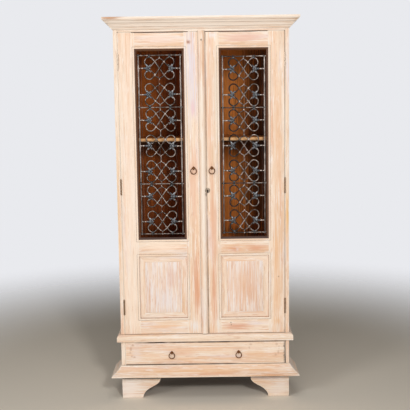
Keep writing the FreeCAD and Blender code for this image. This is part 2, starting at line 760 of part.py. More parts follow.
def scroll_motif(x_middle, z_middle, side_reach, pitch):
    """Two S-scrolls that cross, two pointed bars over them, leaf clasps, connectors and end links."""
    depth = GRILLE_DEPTH
    spread = math.hypot(LOOP_OUT, LOOP_UP)
    turn = math.asin(LOOP_RADIUS / spread)
    toward_middle = math.atan2(LOOP_UP, LOOP_OUT)
    diagonal = toward_middle + turn
    tangent_run = math.sqrt(spread**2 - LOOP_RADIUS**2)
    tip = (tangent_run * math.cos(diagonal), tangent_run * math.sin(diagonal))
    arc_start = diagonal + math.pi / 2
    clasp_meet = math.atan2(-LOOP_UP, CLASP_OUT - LOOP_OUT)
    pieces = []
    for x_hand in (-1, 1):
        start = (x_middle - x_hand * tip[0], z_middle - tip[1])
        end = (x_middle + x_hand * tip[0], z_middle + tip[1])
        pieces.append(flat_bar(start, end, depth))
        clasp_x = x_middle + x_hand * CLASP_OUT
        for z_hand in (-1, 1):
            centre = (x_middle + x_hand * LOOP_OUT, z_middle + z_hand * LOOP_UP)
            first, last = arc_start, clasp_meet
            if x_hand < 0:
                first, last = math.pi - first, math.pi - last
            if z_hand < 0:
                first, last = -first, -last
            pieces.append(round_bar(centre, first, last, depth))
            apex = (x_middle, z_middle + z_hand * APEX_UP)
            pieces.append(flat_bar((clasp_x, z_middle), apex, depth))
        half_clasp = CLASP_WIDTH / 2
        leaf = [
            (-half_clasp, 0, CLASP_BULGE),
            (0, -CLASP_HEIGHT / 2, CLASP_BULGE),
            (half_clasp, 0, CLASP_BULGE),
            (0, CLASP_HEIGHT / 2, CLASP_BULGE),
        ]
        clasp_depth = depth + (GRILLE_BAR - CLASP_THICKNESS) / 2
        face = outline_face(leaf, lambda u, v: at(clasp_x + u, clasp_depth, z_middle + v))
        pieces.append(face.extrude(BACKWARD * CLASP_THICKNESS))
        side_x = x_middle + x_hand * (side_reach - GRILLE_BAR / 2)
        pieces.append(flat_bar((clasp_x, z_middle), (side_x, z_middle), depth))
    for z_hand in (-1, 1):
        link_start = (x_middle, z_middle + z_hand * (APEX_UP - GRILLE_BAR))
        link_end = (x_middle, z_middle + z_hand * pitch / 2)
        pieces.append(flat_bar(link_start, link_end, depth))
    return pieces[0].fuse(pieces[1:]).removeSplitter()


def grille(x_range, low, high):
    """Side bars, cross bars let into the stiles, and the column of scroll motifs from the low to the high bar."""
    x0, x1 = sorted(x_range)
    x_middle = (x0 + x1) / 2
    side_reach = (x1 - x0) / 2 - GRILLE_SIDE_INSET
    pitch = (high - low) / MOTIF_COUNT
    half_bar = GRILLE_BAR / 2
    behind = GRILLE_DEPTH + GRILLE_BAR
    bars = []
    for hand in (-1, 1):
        x = x_middle + hand * side_reach
        bars.append(box((x - half_bar, x + half_bar), (GRILLE_DEPTH, behind), (low - half_bar, high + half_bar)))
    cross_bars = []
    for motifs_below in MOTIF_COUNT_UNDER_BARS:
        z = low + motifs_below * pitch
        across = (x0 - GRILLE_BAR_LET_IN, x1 + GRILLE_BAR_LET_IN)
        cross_bars.append(box(across, (behind, behind + GRILLE_BAR), (z - half_bar, z + half_bar)))
    motif = scroll_motif(x_middle, low + pitch / 2, side_reach, pitch)
    motifs = []
    for index in range(MOTIF_COUNT):
        copy = motif.copy()
        copy.translate(UP * (index * pitch))
        motifs.append(copy)
    return bars, cross_bars, motifs


def door_rail(x_range, z0, z1):
    """Rail between two stiles, with a tenon at each end."""
    x0, x1 = sorted(x_range)
    body = box((x0, x1), (0, DOOR_THICKNESS), (z0, z1))
    tenon_front = (DOOR_THICKNESS - TENON_THICKNESS) / 2
    tenons = box(
        (x0 - TENON_LENGTH, x1 + TENON_LENGTH),
        (tenon_front, tenon_front + TENON_THICKNESS),
        (z0 + TENON_SHOULDER, z1 - TENON_SHOULDER),
    )
    return body.fuse(tenons).removeSplitter()


def door_leaf(hand, meeting_edge):
    """Stiles, rails, panel and grille of one leaf. hand is +1 for the right leaf, -1 for the left."""
    across = (hand * opening_inner, hand * opening_outer)
    through = (0, DOOR_THICKNESS)
    full_height = (door_bottom, door_top)
    hinge_stile = box((hand * opening_outer, hand * hinge_edge), through, full_height)
    meeting_stile = box((meeting_edge, hand * opening_inner), through, full_height)
    rails = [
        door_rail(across, door_bottom, panel_bottom),
        door_rail(across, panel_top, grille_bottom),
        door_rail(across, grille_top, door_top),
    ]
    panel, panel_groove = raised_panel(across)
    foot_margin = RIGHT_GRILLE_FOOT_MARGIN if hand > 0 else LEFT_GRILLE_FOOT_MARGIN
    head_margin = RIGHT_GRILLE_HEAD_MARGIN if hand > 0 else LEFT_GRILLE_HEAD_MARGIN
    side_bars, cross_bars, motifs = grille(across, grille_bottom + foot_margin, grille_top - head_margin)
    grooves = bead_grooves(across, (grille_bottom, grille_top))
    grooves += bead_grooves(across, (panel_bottom, panel_top))
    frame_cuts = Part.makeCompound(grooves + [panel_groove])
    rails = [rail.cut(frame_cuts) for rail in rails]
    stile_cuts = rails + [panel_groove] + cross_bars + grooves
    mortises = door_mortises if hand > 0 else [mirrored(cut) for cut in door_mortises]
    for cut in stile_cuts + mortises:
        hinge_stile = hinge_stile.cut(cut)
    for cut in stile_cuts:
        meeting_stile = meeting_stile.cut(cut)
    return {
        "hinge_stile": hinge_stile,
        "meeting_stile": meeting_stile,
        "rails": rails,
        "panel": panel,
        "grille_bars": side_bars + cross_bars,
        "grille_scrolls": motifs,
    }


right_door = door_leaf(1, -ASTRAGAL_WIDTH / 2)
left_door = door_leaf(-1, -ASTRAGAL_WIDTH / 2 - DOOR_GAP)

# Pulls of the doors
pull_z = door_bottom + DOOR_PULL_HEIGHT
right_stud, right_nail = pull_stud(DOOR_PULL_OUT, pull_z)
left_stud, left_nail = pull_stud(-DOOR_PULL_OUT, pull_z)
right_door["meeting_stile"] = right_door["meeting_stile"].cut(right_nail)
left_door["meeting_stile"] = left_door["meeting_stile"].cut(left_nail)

# Lock of the right door, with its keyhole through escutcheon, stile and lock case
keyhole_x = ASTRAGAL_WIDTH / 2 + KEYHOLE_FROM_ASTRAGAL
keyhole_z = door_bottom + KEYHOLE_HEIGHT
lock_front = DOOR_THICKNESS
lock_back = lock_front + LOCK_DEPTH
lock_edge = -ASTRAGAL_WIDTH / 2 + LOCK_EDGE_SETBACK
bolt_low = keyhole_z + BOLT_ABOVE_KEYHOLE
bolt_front = lock_front + (LOCK_DEPTH - BOLT_THICKNESS) / 2


def keyhole():
    """Keyhole: a round eye over a straight slot, from in front of the escutcheon into the lock case."""
    start = -ASTRAGAL_PROUD
    length = lock_front + LOCK_WALL - start
    eye = rod_along(BACKWARD, KEYHOLE_EYE_RADIUS, length, at(keyhole_x, start, keyhole_z))
    half_slot = KEYHOLE_SLOT_WIDTH / 2
    slot = box(
        (keyhole_x - half_slot, keyhole_x + half_slot),
        (start, start + length),
        (keyhole_z - KEYHOLE_SLOT_LENGTH, keyhole_z),
    )
    return eye.fuse(slot)


def astragal():
    """Half-round cover strip on the right leaf, which laps over the frieze and gives way to the escutcheon."""
    half = ASTRAGAL_WIDTH / 2
    half_round = [(half, 0, 0), (-half, 0, -ASTRAGAL_PROUD / ASTRAGAL_WIDTH)]
    face = outline_face(half_round, lambda u, v: at(u, v, door_bottom))
    strip = face.extrude(UP * (door_top + ASTRAGAL_OVERLAP - door_bottom))
    relief = box((-half, half), (-LEAF_GAP, 0), (door_top, door_top + ASTRAGAL_OVERLAP))
    seat = rod_along(
        BACKWARD, ESCUTCHEON_RADIUS + LEAF_GAP, ASTRAGAL_PROUD, at(keyhole_x, -ASTRAGAL_PROUD, keyhole_z)
    )
    return strip.cut(relief.fuse(seat))


def lock_case():
    """Hollow lock case on the inside of the right leaf, open at its edge for the bolt."""
    z_middle = keyhole_z
    z_range = (z_middle - LOCK_HEIGHT / 2, z_middle + LOCK_HEIGHT / 2)
    outer = box((lock_edge, lock_edge + LOCK_WIDTH), (lock_front, lock_back), z_range)
    hollow = box(
        (lock_edge + LOCK_WALL, lock_edge + LOCK_WIDTH - LOCK_WALL),
        (lock_front + LOCK_WALL, lock_back - LOCK_WALL),
        (z_range[0] + LOCK_WALL, z_range[1] - LOCK_WALL),
    )
    mouth = box(
        (lock_edge, lock_edge + LOCK_WALL),
        (bolt_front - BOLT_CLEARANCE, bolt_front + BOLT_THICKNESS + BOLT_CLEARANCE),
        (bolt_low - BOLT_CLEARANCE, bolt_low + BOLT_HEIGHT + BOLT_CLEARANCE),
    )
    return outer.cut(hollow.fuse(mouth)).cut(keyhole())


def lock_bolt():
    """Lock bolt, drawn back flush with the edge of its case."""
    return box(
        (lock_edge, lock_edge + BOLT_LENGTH),
        (bolt_front, bolt_front + BOLT_THICKNESS),
        (bolt_low, bolt_low + BOLT_HEIGHT),
    )


def lock_keeper():
    """Box keeper on the inside of the left leaf, with a pocket for the bolt."""
    edge = -ASTRAGAL_WIDTH / 2 - DOOR_GAP - KEEPER_EDGE_SETBACK
    outer = box(
        (edge - KEEPER_WIDTH, edge),
        (lock_front, lock_back),
        (bolt_low - KEEPER_PLAY - KEEPER_WALL, bolt_low + BOLT_HEIGHT + KEEPER_PLAY + KEEPER_WALL),
    )
    pocket = box(
        (edge - KEEPER_WIDTH + KEEPER_WALL, edge),
        (bolt_front - KEEPER_PLAY, bolt_front + BOLT_THICKNESS + KEEPER_PLAY),
        (bolt_low - KEEPER_PLAY, bolt_low + BOLT_HEIGHT + KEEPER_PLAY),
    )
    return outer.cut(pocket)


def escutcheon():
    """Thin round keyhole plate on the face of the right leaf."""
    plate = rod_along(
        BACKWARD, ESCUTCHEON_RADIUS, ESCUTCHEON_THICKNESS, at(keyhole_x, -ESCUTCHEON_THICKNESS, keyhole_z)
    )
    return plate.cut(keyhole())


right_door["meeting_stile"] = right_door["meeting_stile"].cut(keyhole())

# Inside bolt at the foot of the left leaf
rod_x = -opening_inner + ROD_FROM_OPENING
rod_depth = DOOR_THICKNESS + ROD_OUT
rod_low = door_bottom + ROD_LIFT


def bolt_plate():
    """Back plate with two bored staples that guide the rod."""
    z0 = door_bottom + ROD_LIFT
    across = (rod_x - ROD_PLATE_WIDTH / 2, rod_x + ROD_PLATE_WIDTH / 2)
    through = (DOOR_THICKNESS, DOOR_THICKNESS + ROD_PLATE_THICKNESS)
    plate = box(across, through, (z0, z0 + ROD_PLATE_LENGTH))
    staples = []
    for low in (z0 + STAPLE_INSET, z0 + ROD_PLATE_LENGTH - STAPLE_INSET - STAPLE_HEIGHT):
        staples.append(box(
            (rod_x - STAPLE_WIDTH / 2, rod_x + STAPLE_WIDTH / 2),
            (DOOR_THICKNESS, rod_depth + ROD_RADIUS + ROD_CLEARANCE + STAPLE_WALL),
            (low, low + STAPLE_HEIGHT),
        ))
    bore = rod_along(UP, ROD_RADIUS + ROD_CLEARANCE, 2 * ROD_PLATE_LENGTH, at(rod_x, rod_depth, door_bottom))
    return plate.fuse(staples).cut(bore).removeSplitter()


def bolt_rod():
    """Sliding rod with a finger knob, drawn up clear of the waist board."""
    shaft = rod_along(UP, ROD_RADIUS, ROD_LENGTH, at(rod_x, rod_depth, rod_low))
    lower_staple_top = rod_low + STAPLE_INSET + STAPLE_HEIGHT
    upper_staple_bottom = rod_low + ROD_PLATE_LENGTH - STAPLE_INSET - STAPLE_HEIGHT
    knob_z = (lower_staple_top + upper_staple_bottom) / 2
    knob_length = ROD_RADIUS + ROD_KNOB_LENGTH
    knob = rod_along(BACKWARD, ROD_KNOB_RADIUS, knob_length, at(rod_x, rod_depth, knob_z))
    return shaft.fuse(knob).removeSplitter()


def bolt_socket():
    """Hole in the waist board for the foot of the rod."""
    return rod_along(
        UP, ROD_RADIUS + ROD_SOCKET_PLAY, ROD_SOCKET_DEPTH, at(rod_x, rod_depth, waist_top - ROD_SOCKET_DEPTH)
    )


# Drawer

drawer_low = plinth_top + DRAWER_RUNNING_GAP
drawer_half = half_inside - GUIDE_THICKNESS - GUIDE_GAP
drawer_inset = BACK_THICKNESS + DRAWER_WALL_CLEARANCE
drawer_front_back = DRAWER_FRONT_THICKNESS


def drawer_walls():
    """Right side, right slanted side and back of the drawer, mitred where they meet."""
    outer_line = wall_line(drawer_inset)
    inner_line = wall_line(drawer_inset + DRAWER_SIDE_THICKNESS)
    inner_half = drawer_half - DRAWER_SIDE_THICKNESS
    inner_rear = DRAWER_DEPTH - DRAWER_SIDE_THICKNESS
    front_outer = (drawer_half, drawer_front_back)
    front_inner = (inner_half, drawer_front_back)
    bend_outer = (drawer_half, outer_line - drawer_half)
    bend_inner = (inner_half, inner_line - inner_half)
    rear_outer = (outer_line - DRAWER_DEPTH, DRAWER_DEPTH)
    rear_inner = (inner_line - inner_rear, inner_rear)
    z0 = drawer_low
    z1 = drawer_low + DRAWER_SIDE_HEIGHT
    side = prism([front_outer, bend_outer, bend_inner, front_inner], z0, z1)
    slant = prism([bend_outer, rear_outer, rear_inner, bend_inner], z0, z1)
    back_outline = [rear_outer, (-rear_outer[0], rear_outer[1]), (-rear_inner[0], rear_inner[1]), rear_inner]
    return side, slant, prism(back_outline, z0, z1)


def drawer_bottom():
    """Bottom panel, let into grooves in the front, the sides and the back."""
    grip = DRAWER_SIDE_THICKNESS - DRAWER_GROOVE
    outline = home_plate(
        drawer_half - grip,
        drawer_front_back - DRAWER_GROOVE,
        drawer_inset + grip,
        DRAWER_DEPTH - grip,
    )
    z0 = drawer_low + DRAWER_BOTTOM_LIFT
    return prism(outline, z0, z0 + DRAWER_BOTTOM_THICKNESS)


drawer_front = box(
    (-half_opening + DRAWER_GAP, half_opening - DRAWER_GAP),
    (0, DRAWER_FRONT_THICKNESS),
    (plinth_top + DRAWER_GAP, waist_bottom - DRAWER_HEAD_GAP),
)
drawer_pull_z = (plinth_top + waist_bottom) / 2
drawer_studs = []
drawer_front = drawer_front.cut(drawer_bottom())
for x in (-DRAWER_PULL_OUT, DRAWER_PULL_OUT):
    stud, nail = pull_stud(x, drawer_pull_z)
    drawer_studs.append(stud)
    drawer_front = drawer_front.cut(nail)
side, slant, drawer_back = (wall.cut(drawer_bottom()) for wall in drawer_walls())

# Pieces of the case

right_sides = side_panels()
write("left_side_panels", *[mirrored(panel) for panel in right_sides])
write("right_side_panels", *right_sides)
right_boards = back_boards()
write("left_back_boards", *[mirrored(board) for board in right_boards])
write("right_back_boards", *right_boards)
write("rear_post", *rear_post())
lower_stile, upper_stile = case_stiles()
for cut in case_mortises:
    upper_stile = upper_stile.cut(cut)
write("left_case_stiles", mirrored(lower_stile), mirrored(upper_stile))
write("right_case_stiles", lower_stile, upper_stile)
write("frieze_rail", box(
    (-half_opening, half_opening), (0, FACE_THICKNESS), (frieze_bottom, top_board_bottom)
))
write("top_board", prism(home_plate(half_body, 0, 0, rear_depth), top_board_bottom, top))
write("waist_board", waist_board().cut(bolt_socket()))
write("base_rail", box((-half_body, half_body), (0, FACE_THICKNESS), (FOOT_HEIGHT, plinth_top)))
write("base_board", inside_board(FACE_THICKNESS, plinth_top - BASE_THICKNESS, plinth_top))
plinth_front, plinth_return = plinth_moulding()
write("plinth_front_moulding", plinth_front)
write("plinth_returns", plinth_return, mirrored(plinth_return))
cornice_front, cornice_return = cornice_moulding()
write("cornice_front_moulding", cornice_front)
write("cornice_returns", cornice_return, mirrored(cornice_return))
right_brackets = foot_brackets()
write("left_foot_brackets", *[mirrored(bracket) for bracket in right_brackets])
write("right_foot_brackets", *right_brackets)
for node, shelf_top in (("lower_shelf", LOWER_SHELF_TOP), ("upper_shelf", UPPER_SHELF_TOP)):
    level = waist_top + shelf_top
    write(node, inside_board(SHELF_SETBACK, level - SHELF_THICKNESS, level))
write("shelf_cleats", *shelf_cleats())
write("drawer_guides", *drawer_fittings())
write("hinge_case_leaves", *case_leaves, *[mirrored(leaf) for leaf in case_leaves])
write("hinge_pins", *pins, *[mirrored(pin) for pin in pins])
write("hinge_case_screws", *case_screws, *[mirrored(screw) for screw in case_screws])

# Pieces of the doors

for name, leaf in (("left_door", left_door), ("right_door", right_door)):
    write(f"{name}_hinge_stile", leaf["hinge_stile"])
    write(f"{name}_meeting_stile", leaf["meeting_stile"])
    write(f"{name}_rails", *leaf["rails"])
    write(f"{name}_panel", leaf["panel"])
    write(f"{name}_grille_bars", *leaf["grille_bars"])
    write(f"{name}_grille_scrolls", *leaf["grille_scrolls"])
write("left_door_hinge_leaves", *[mirrored(leaf) for leaf in door_leaves])
write("right_door_hinge_leaves", *door_leaves)
write("left_door_hinge_screws", *[mirrored(screw) for screw in door_screws])
write("right_door_hinge_screws", *door_screws)
write("left_door_pull_stud", left_stud)
write("right_door_pull_stud", right_stud)
write("left_door_pull_ring", pull_ring(-DOOR_PULL_OUT, pull_z))
write("right_door_pull_ring", pull_ring(DOOR_PULL_OUT, pull_z))
write("astragal", astragal())
write("keyhole_escutcheon", escutcheon())
write("lock_case", lock_case())
write("lock_bolt", lock_bolt())
write("lock_keeper", lock_keeper())
write("left_door_bolt_plate", bolt_plate())
write("left_door_bolt_rod", bolt_rod())

# Pieces of the drawer

write("drawer_front", drawer_front)
write("drawer_sides", side, slant, mirrored(side), mirrored(slant))
write("drawer_back", drawer_back)
write("drawer_bottom", drawer_bottom())
write("drawer_pull_studs", *drawer_studs)
write("left_drawer_pull_ring", pull_ring(-DRAWER_PULL_OUT, drawer_pull_z))
write("right_drawer_pull_ring", pull_ring(DRAWER_PULL_OUT, drawer_pull_z))
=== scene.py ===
"""Looks of a limed pine corner cabinet with iron grilles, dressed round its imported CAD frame."""

import logging
import math
import random
from abc import ABC, abstractmethod
from collections.abc import Callable, Iterable, Iterator
from contextlib import contextmanager
from dataclasses import dataclass
from enum import Enum
from functools import partial
from itertools import chain

import bpy
from mathutils import Matrix, Vector


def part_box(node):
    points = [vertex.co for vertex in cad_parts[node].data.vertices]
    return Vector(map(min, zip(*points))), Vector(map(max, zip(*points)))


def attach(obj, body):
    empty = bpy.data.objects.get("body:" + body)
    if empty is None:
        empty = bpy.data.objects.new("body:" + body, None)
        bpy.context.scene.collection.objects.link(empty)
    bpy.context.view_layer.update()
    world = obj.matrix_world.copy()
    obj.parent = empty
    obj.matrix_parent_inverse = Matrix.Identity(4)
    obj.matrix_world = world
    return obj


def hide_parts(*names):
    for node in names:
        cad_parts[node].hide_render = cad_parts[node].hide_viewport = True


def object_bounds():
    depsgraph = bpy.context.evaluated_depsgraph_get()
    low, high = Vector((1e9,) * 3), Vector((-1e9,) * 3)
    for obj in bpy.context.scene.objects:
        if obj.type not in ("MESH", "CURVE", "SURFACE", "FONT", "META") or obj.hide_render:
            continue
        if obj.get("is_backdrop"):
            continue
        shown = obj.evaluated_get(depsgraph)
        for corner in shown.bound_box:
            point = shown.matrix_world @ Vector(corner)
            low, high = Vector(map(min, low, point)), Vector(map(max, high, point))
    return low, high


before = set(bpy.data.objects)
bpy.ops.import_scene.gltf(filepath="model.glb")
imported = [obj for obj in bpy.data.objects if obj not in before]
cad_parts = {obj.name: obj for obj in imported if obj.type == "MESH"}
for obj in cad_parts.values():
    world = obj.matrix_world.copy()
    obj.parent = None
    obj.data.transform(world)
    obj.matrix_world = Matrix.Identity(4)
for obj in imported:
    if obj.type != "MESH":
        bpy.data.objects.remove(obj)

CAD_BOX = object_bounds()
LOG = logging.getLogger("corner_cabinet")
MM = 0.001

# Places in the frame, in metres: the face of the doors and what lies behind it, the inside of the case, the
# opening for the grille in a leaf, the foot of the waist board and the keyhole.
FACE_Y = -0.271
DOOR_BACK_Y = FACE_Y + 21 * MM
GROOVE_BACK_Y = FACE_Y + 3.5 * MM
FOOT_BACK_Y = FACE_Y + 22.5 * MM
HALF_INSIDE = 412 * MM
OPENING_INNER = 86 * MM
OPENING_OUTER = 333 * MM
GRILLE_BOTTOM = 839 * MM
GRILLE_TOP = 1799 * MM
WAIST_FOOT = 307 * MM
KEYHOLE_X = 23 * MM
KEYHOLE_HALF = 5.5 * MM
KEYHOLE_HEAD = 1094 * MM
KEYHOLE_FOOT = 1077.1 * MM

# Foot of the upper shelf, in millimetres.
SHELF_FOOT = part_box("upper_shelf")[0].z / MM

# A face looks along an axis when its normal has more than this share of it, squarely with the second and
# fully with the third.
LOOKS = 0.5
SQUARELY = 0.9
FULLY = 0.95

# Noise lies mostly between these two values.
NOISE_LOW = 0.3
NOISE_HIGH = 0.7

# Angles between faces up to which they are shaded smooth, in degrees, on timber and on shaped metal.
TIMBER_ARRIS = 28.0
METAL_ARRIS = 60.0

# Colours of dust and painted shade in corners, in gaps and under ledges, black in the deepest painted
# shadows.
OLD_WAX_AND_SHADE = "#7A5638"
GAP_DUST_AND_SHADE = "#4A2C18"
SHADOW_BLACK = "#36200F"

Socket = bpy.types.NodeSocket
Tree = bpy.types.NodeTree
Object = bpy.types.Object


class Grain(Enum):
    """Axis of the frame along which the fibres of a board run."""

    ACROSS = 0
    FORE_AND_AFT = 1
    UPRIGHT = 2


class Slot(Enum):
    """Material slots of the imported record."""

    LIMED_WOOD = "limed_wood"
    STAINED_PINE = "stained_pine"
    PALE_PINE = "pale_pine"
    WROUGHT_IRON = "wrought_iron"
    AGED_BRONZE = "aged_bronze"
    LOCK_STEEL = "lock_steel"


class Hand(Enum):
    """Side of the cabinet, as the sign of X."""

    LEFT = -1
    RIGHT = 1

    @property
    def word(self) -> str:
        """The side as it stands in node names."""
        return self.name.lower()

    @property
    def door(self) -> str:
        """CAD body of the door on this side."""
        return f"{self.word}_door"


def linear(hex_colour: str) -> tuple[float, float, float, float]:
    """Turns an sRGB hex colour into linear red, green, blue and alpha.

    Args:
        hex_colour: Six hex digits, with or without a leading hash.

    Returns:
        The colour as a shader socket takes it.
    """
    digits = hex_colour.lstrip("#")
    channels = []
    for start in (0, 2, 4):
        value = int(digits[start:start + 2], 16) / 255
        channels.append(value / 12.92 if value <= 0.04045 else ((value + 0.055) / 1.055) ** 2.4)
    return channels[0], channels[1], channels[2], 1.0


def add_node(
    tree: Tree, kind: str, inputs: dict | tuple = (), output: int | str = 0, **settings: object
) -> Socket:
    """Adds a shader node with its settings, values and links.

    Args:
        tree: Node tree of the material.
        kind: Blender's name of the node, without the word that all shader nodes start with.
        inputs: Values or linked sockets, by name or number of the input, or as a tuple in their order. A
            MapRange node takes the value, the two ends that it comes from and the two that they become.
        output: Name or number of the output that is wanted.
        settings: Properties of the node itself.

    Returns:
        The wanted output of the new node.
    """
    node = tree.nodes.new(f"ShaderNode{kind}")
    for name, value in settings.items():
        setattr(node, name, value)
    for socket, value in inputs.items() if isinstance(inputs, dict) else enumerate(inputs):
        if isinstance(value, Socket):
            tree.links.new(value, node.inputs[socket])
        else:
            node.inputs[socket].default_value = value
    return node.outputs[output]


def fibres(tree: Tree, place: Socket, grain: Grain, width: float, length: float, seed: float) -> Socket:
    """Draws noise out along the grain of a board.

    Args:
        tree: Node tree of the material.
        place: Object coordinates of the surface.
        grain: Direction of the fibres.
        width: Width of a bundle of fibres, in millimetres.
        length: Length of a bundle, in millimetres.
        seed: Shift that gives each layer a pattern of its own.

    Returns:
        A value about 0.5, mostly between 0.3 and 0.7.
    """
    scale = [1 / (width * MM)] * 3
    scale[grain.value] = 1 / (length * MM)
    shift = (seed, 1.7 * seed, 2.3 * seed)
    drawn = add_node(tree, "Mapping", {"Vector": place, "Location": shift, "Scale": scale})
    return add_node(tree, "TexNoise", {"Vector": drawn, "Scale": 1.0, "Detail": 4.0})


class Finish(ABC):
    """A surface finish, whose material is made the first time that a piece asks for it."""

    name: str

    @abstractmethod
    def paint(self, tree: Tree, shader: bpy.types.Node) -> None:
        """Fills the node tree of the material.

        Args:
            tree: Node tree of the material.
            shader: Its surface shader.
        """

    def material(self) -> bpy.types.Material:
        """Finds the finish's material, or makes it.

        Returns:
            The material.
        """
        found = bpy.data.materials.get(self.name)
        if found:
            return found
        made = bpy.data.materials.new(self.name)
        made.use_nodes = True
        self.paint(made.node_tree, made.node_tree.nodes["Principled BSDF"])
        return made


Layer = tuple[Socket, str]


class LayeredFinish(Finish):
    """A finish of coloured layers over a ground, whose gloss and relief follow one pattern."""

    ground: str
    roughness: float
    relief: float
    polish = 0.1

    def lay(
        self, tree: Tree, shader: bpy.types.Node, layers: Iterable[Layer], pattern: Socket, wear: float,
        depth: float,
    ) -> None:
        """Lays the layers over the ground, and gives the shader its colour, gloss and relief.

        Args:
            tree: Node tree of the material.
            shader: Its surface shader.
            layers: Share and colour of each layer, from the lowest to the uppermost.
            pattern: Noise that gloss and relief follow.
            wear: What the dullest places add to the roughness.
            depth: Depth of the relief, in millimetres.
        """
        colour: Socket | tuple = linear(self.ground)
        # A Mix node takes its share at 0 and its two colours at 6 and 7, and gives their mixture at 2.
        for share, over in layers:
            colour = add_node(tree, "Mix", {0: share, 6: colour, 7: linear(over)}, 2, data_type="RGBA")
        gloss = (pattern, NOISE_LOW, NOISE_HIGH, self.roughness - self.polish, self.roughness + wear)
        bump = {"Strength": self.relief, "Distance": depth * MM, "Height": pattern}
        tree.links.new(colour, shader.inputs["Base Color"])
        tree.links.new(add_node(tree, "MapRange", gloss), shader.inputs["Roughness"])
        tree.links.new(add_node(tree, "Bump", bump), shader.inputs["Normal"])


@dataclass(frozen=True)
class Streak:
    """A layer of colour that follows the grain.

    Width and length of its patches are in millimetres, low and high the noise at which it begins and is full.
    """

    colour: str
    width: float
    length: float
    low: float
    high: float
    strength: float


@dataclass(frozen=True)
class Touch:
    """One place that differs: its centre and half sizes across and up, in millimetres."""

    colour: str
    across: float
    up: float
    half_across: float
    half_up: float
    strength: float


@dataclass(frozen=True)
class DustAndShadeLine:
    """A dark line along a gap or under a ledge: dust where cloths never reach, and painted shade.

    It lies at a place on an axis, is strongest between start and end on the other axis and fades beyond.
    Sizes are in millimetres.
    """

    axis: Grain
    place: float
    half_width: float
    strength: float
    start: float
    end: float
    colour: str = OLD_WAX_AND_SHADE
    fade: float = 60.0


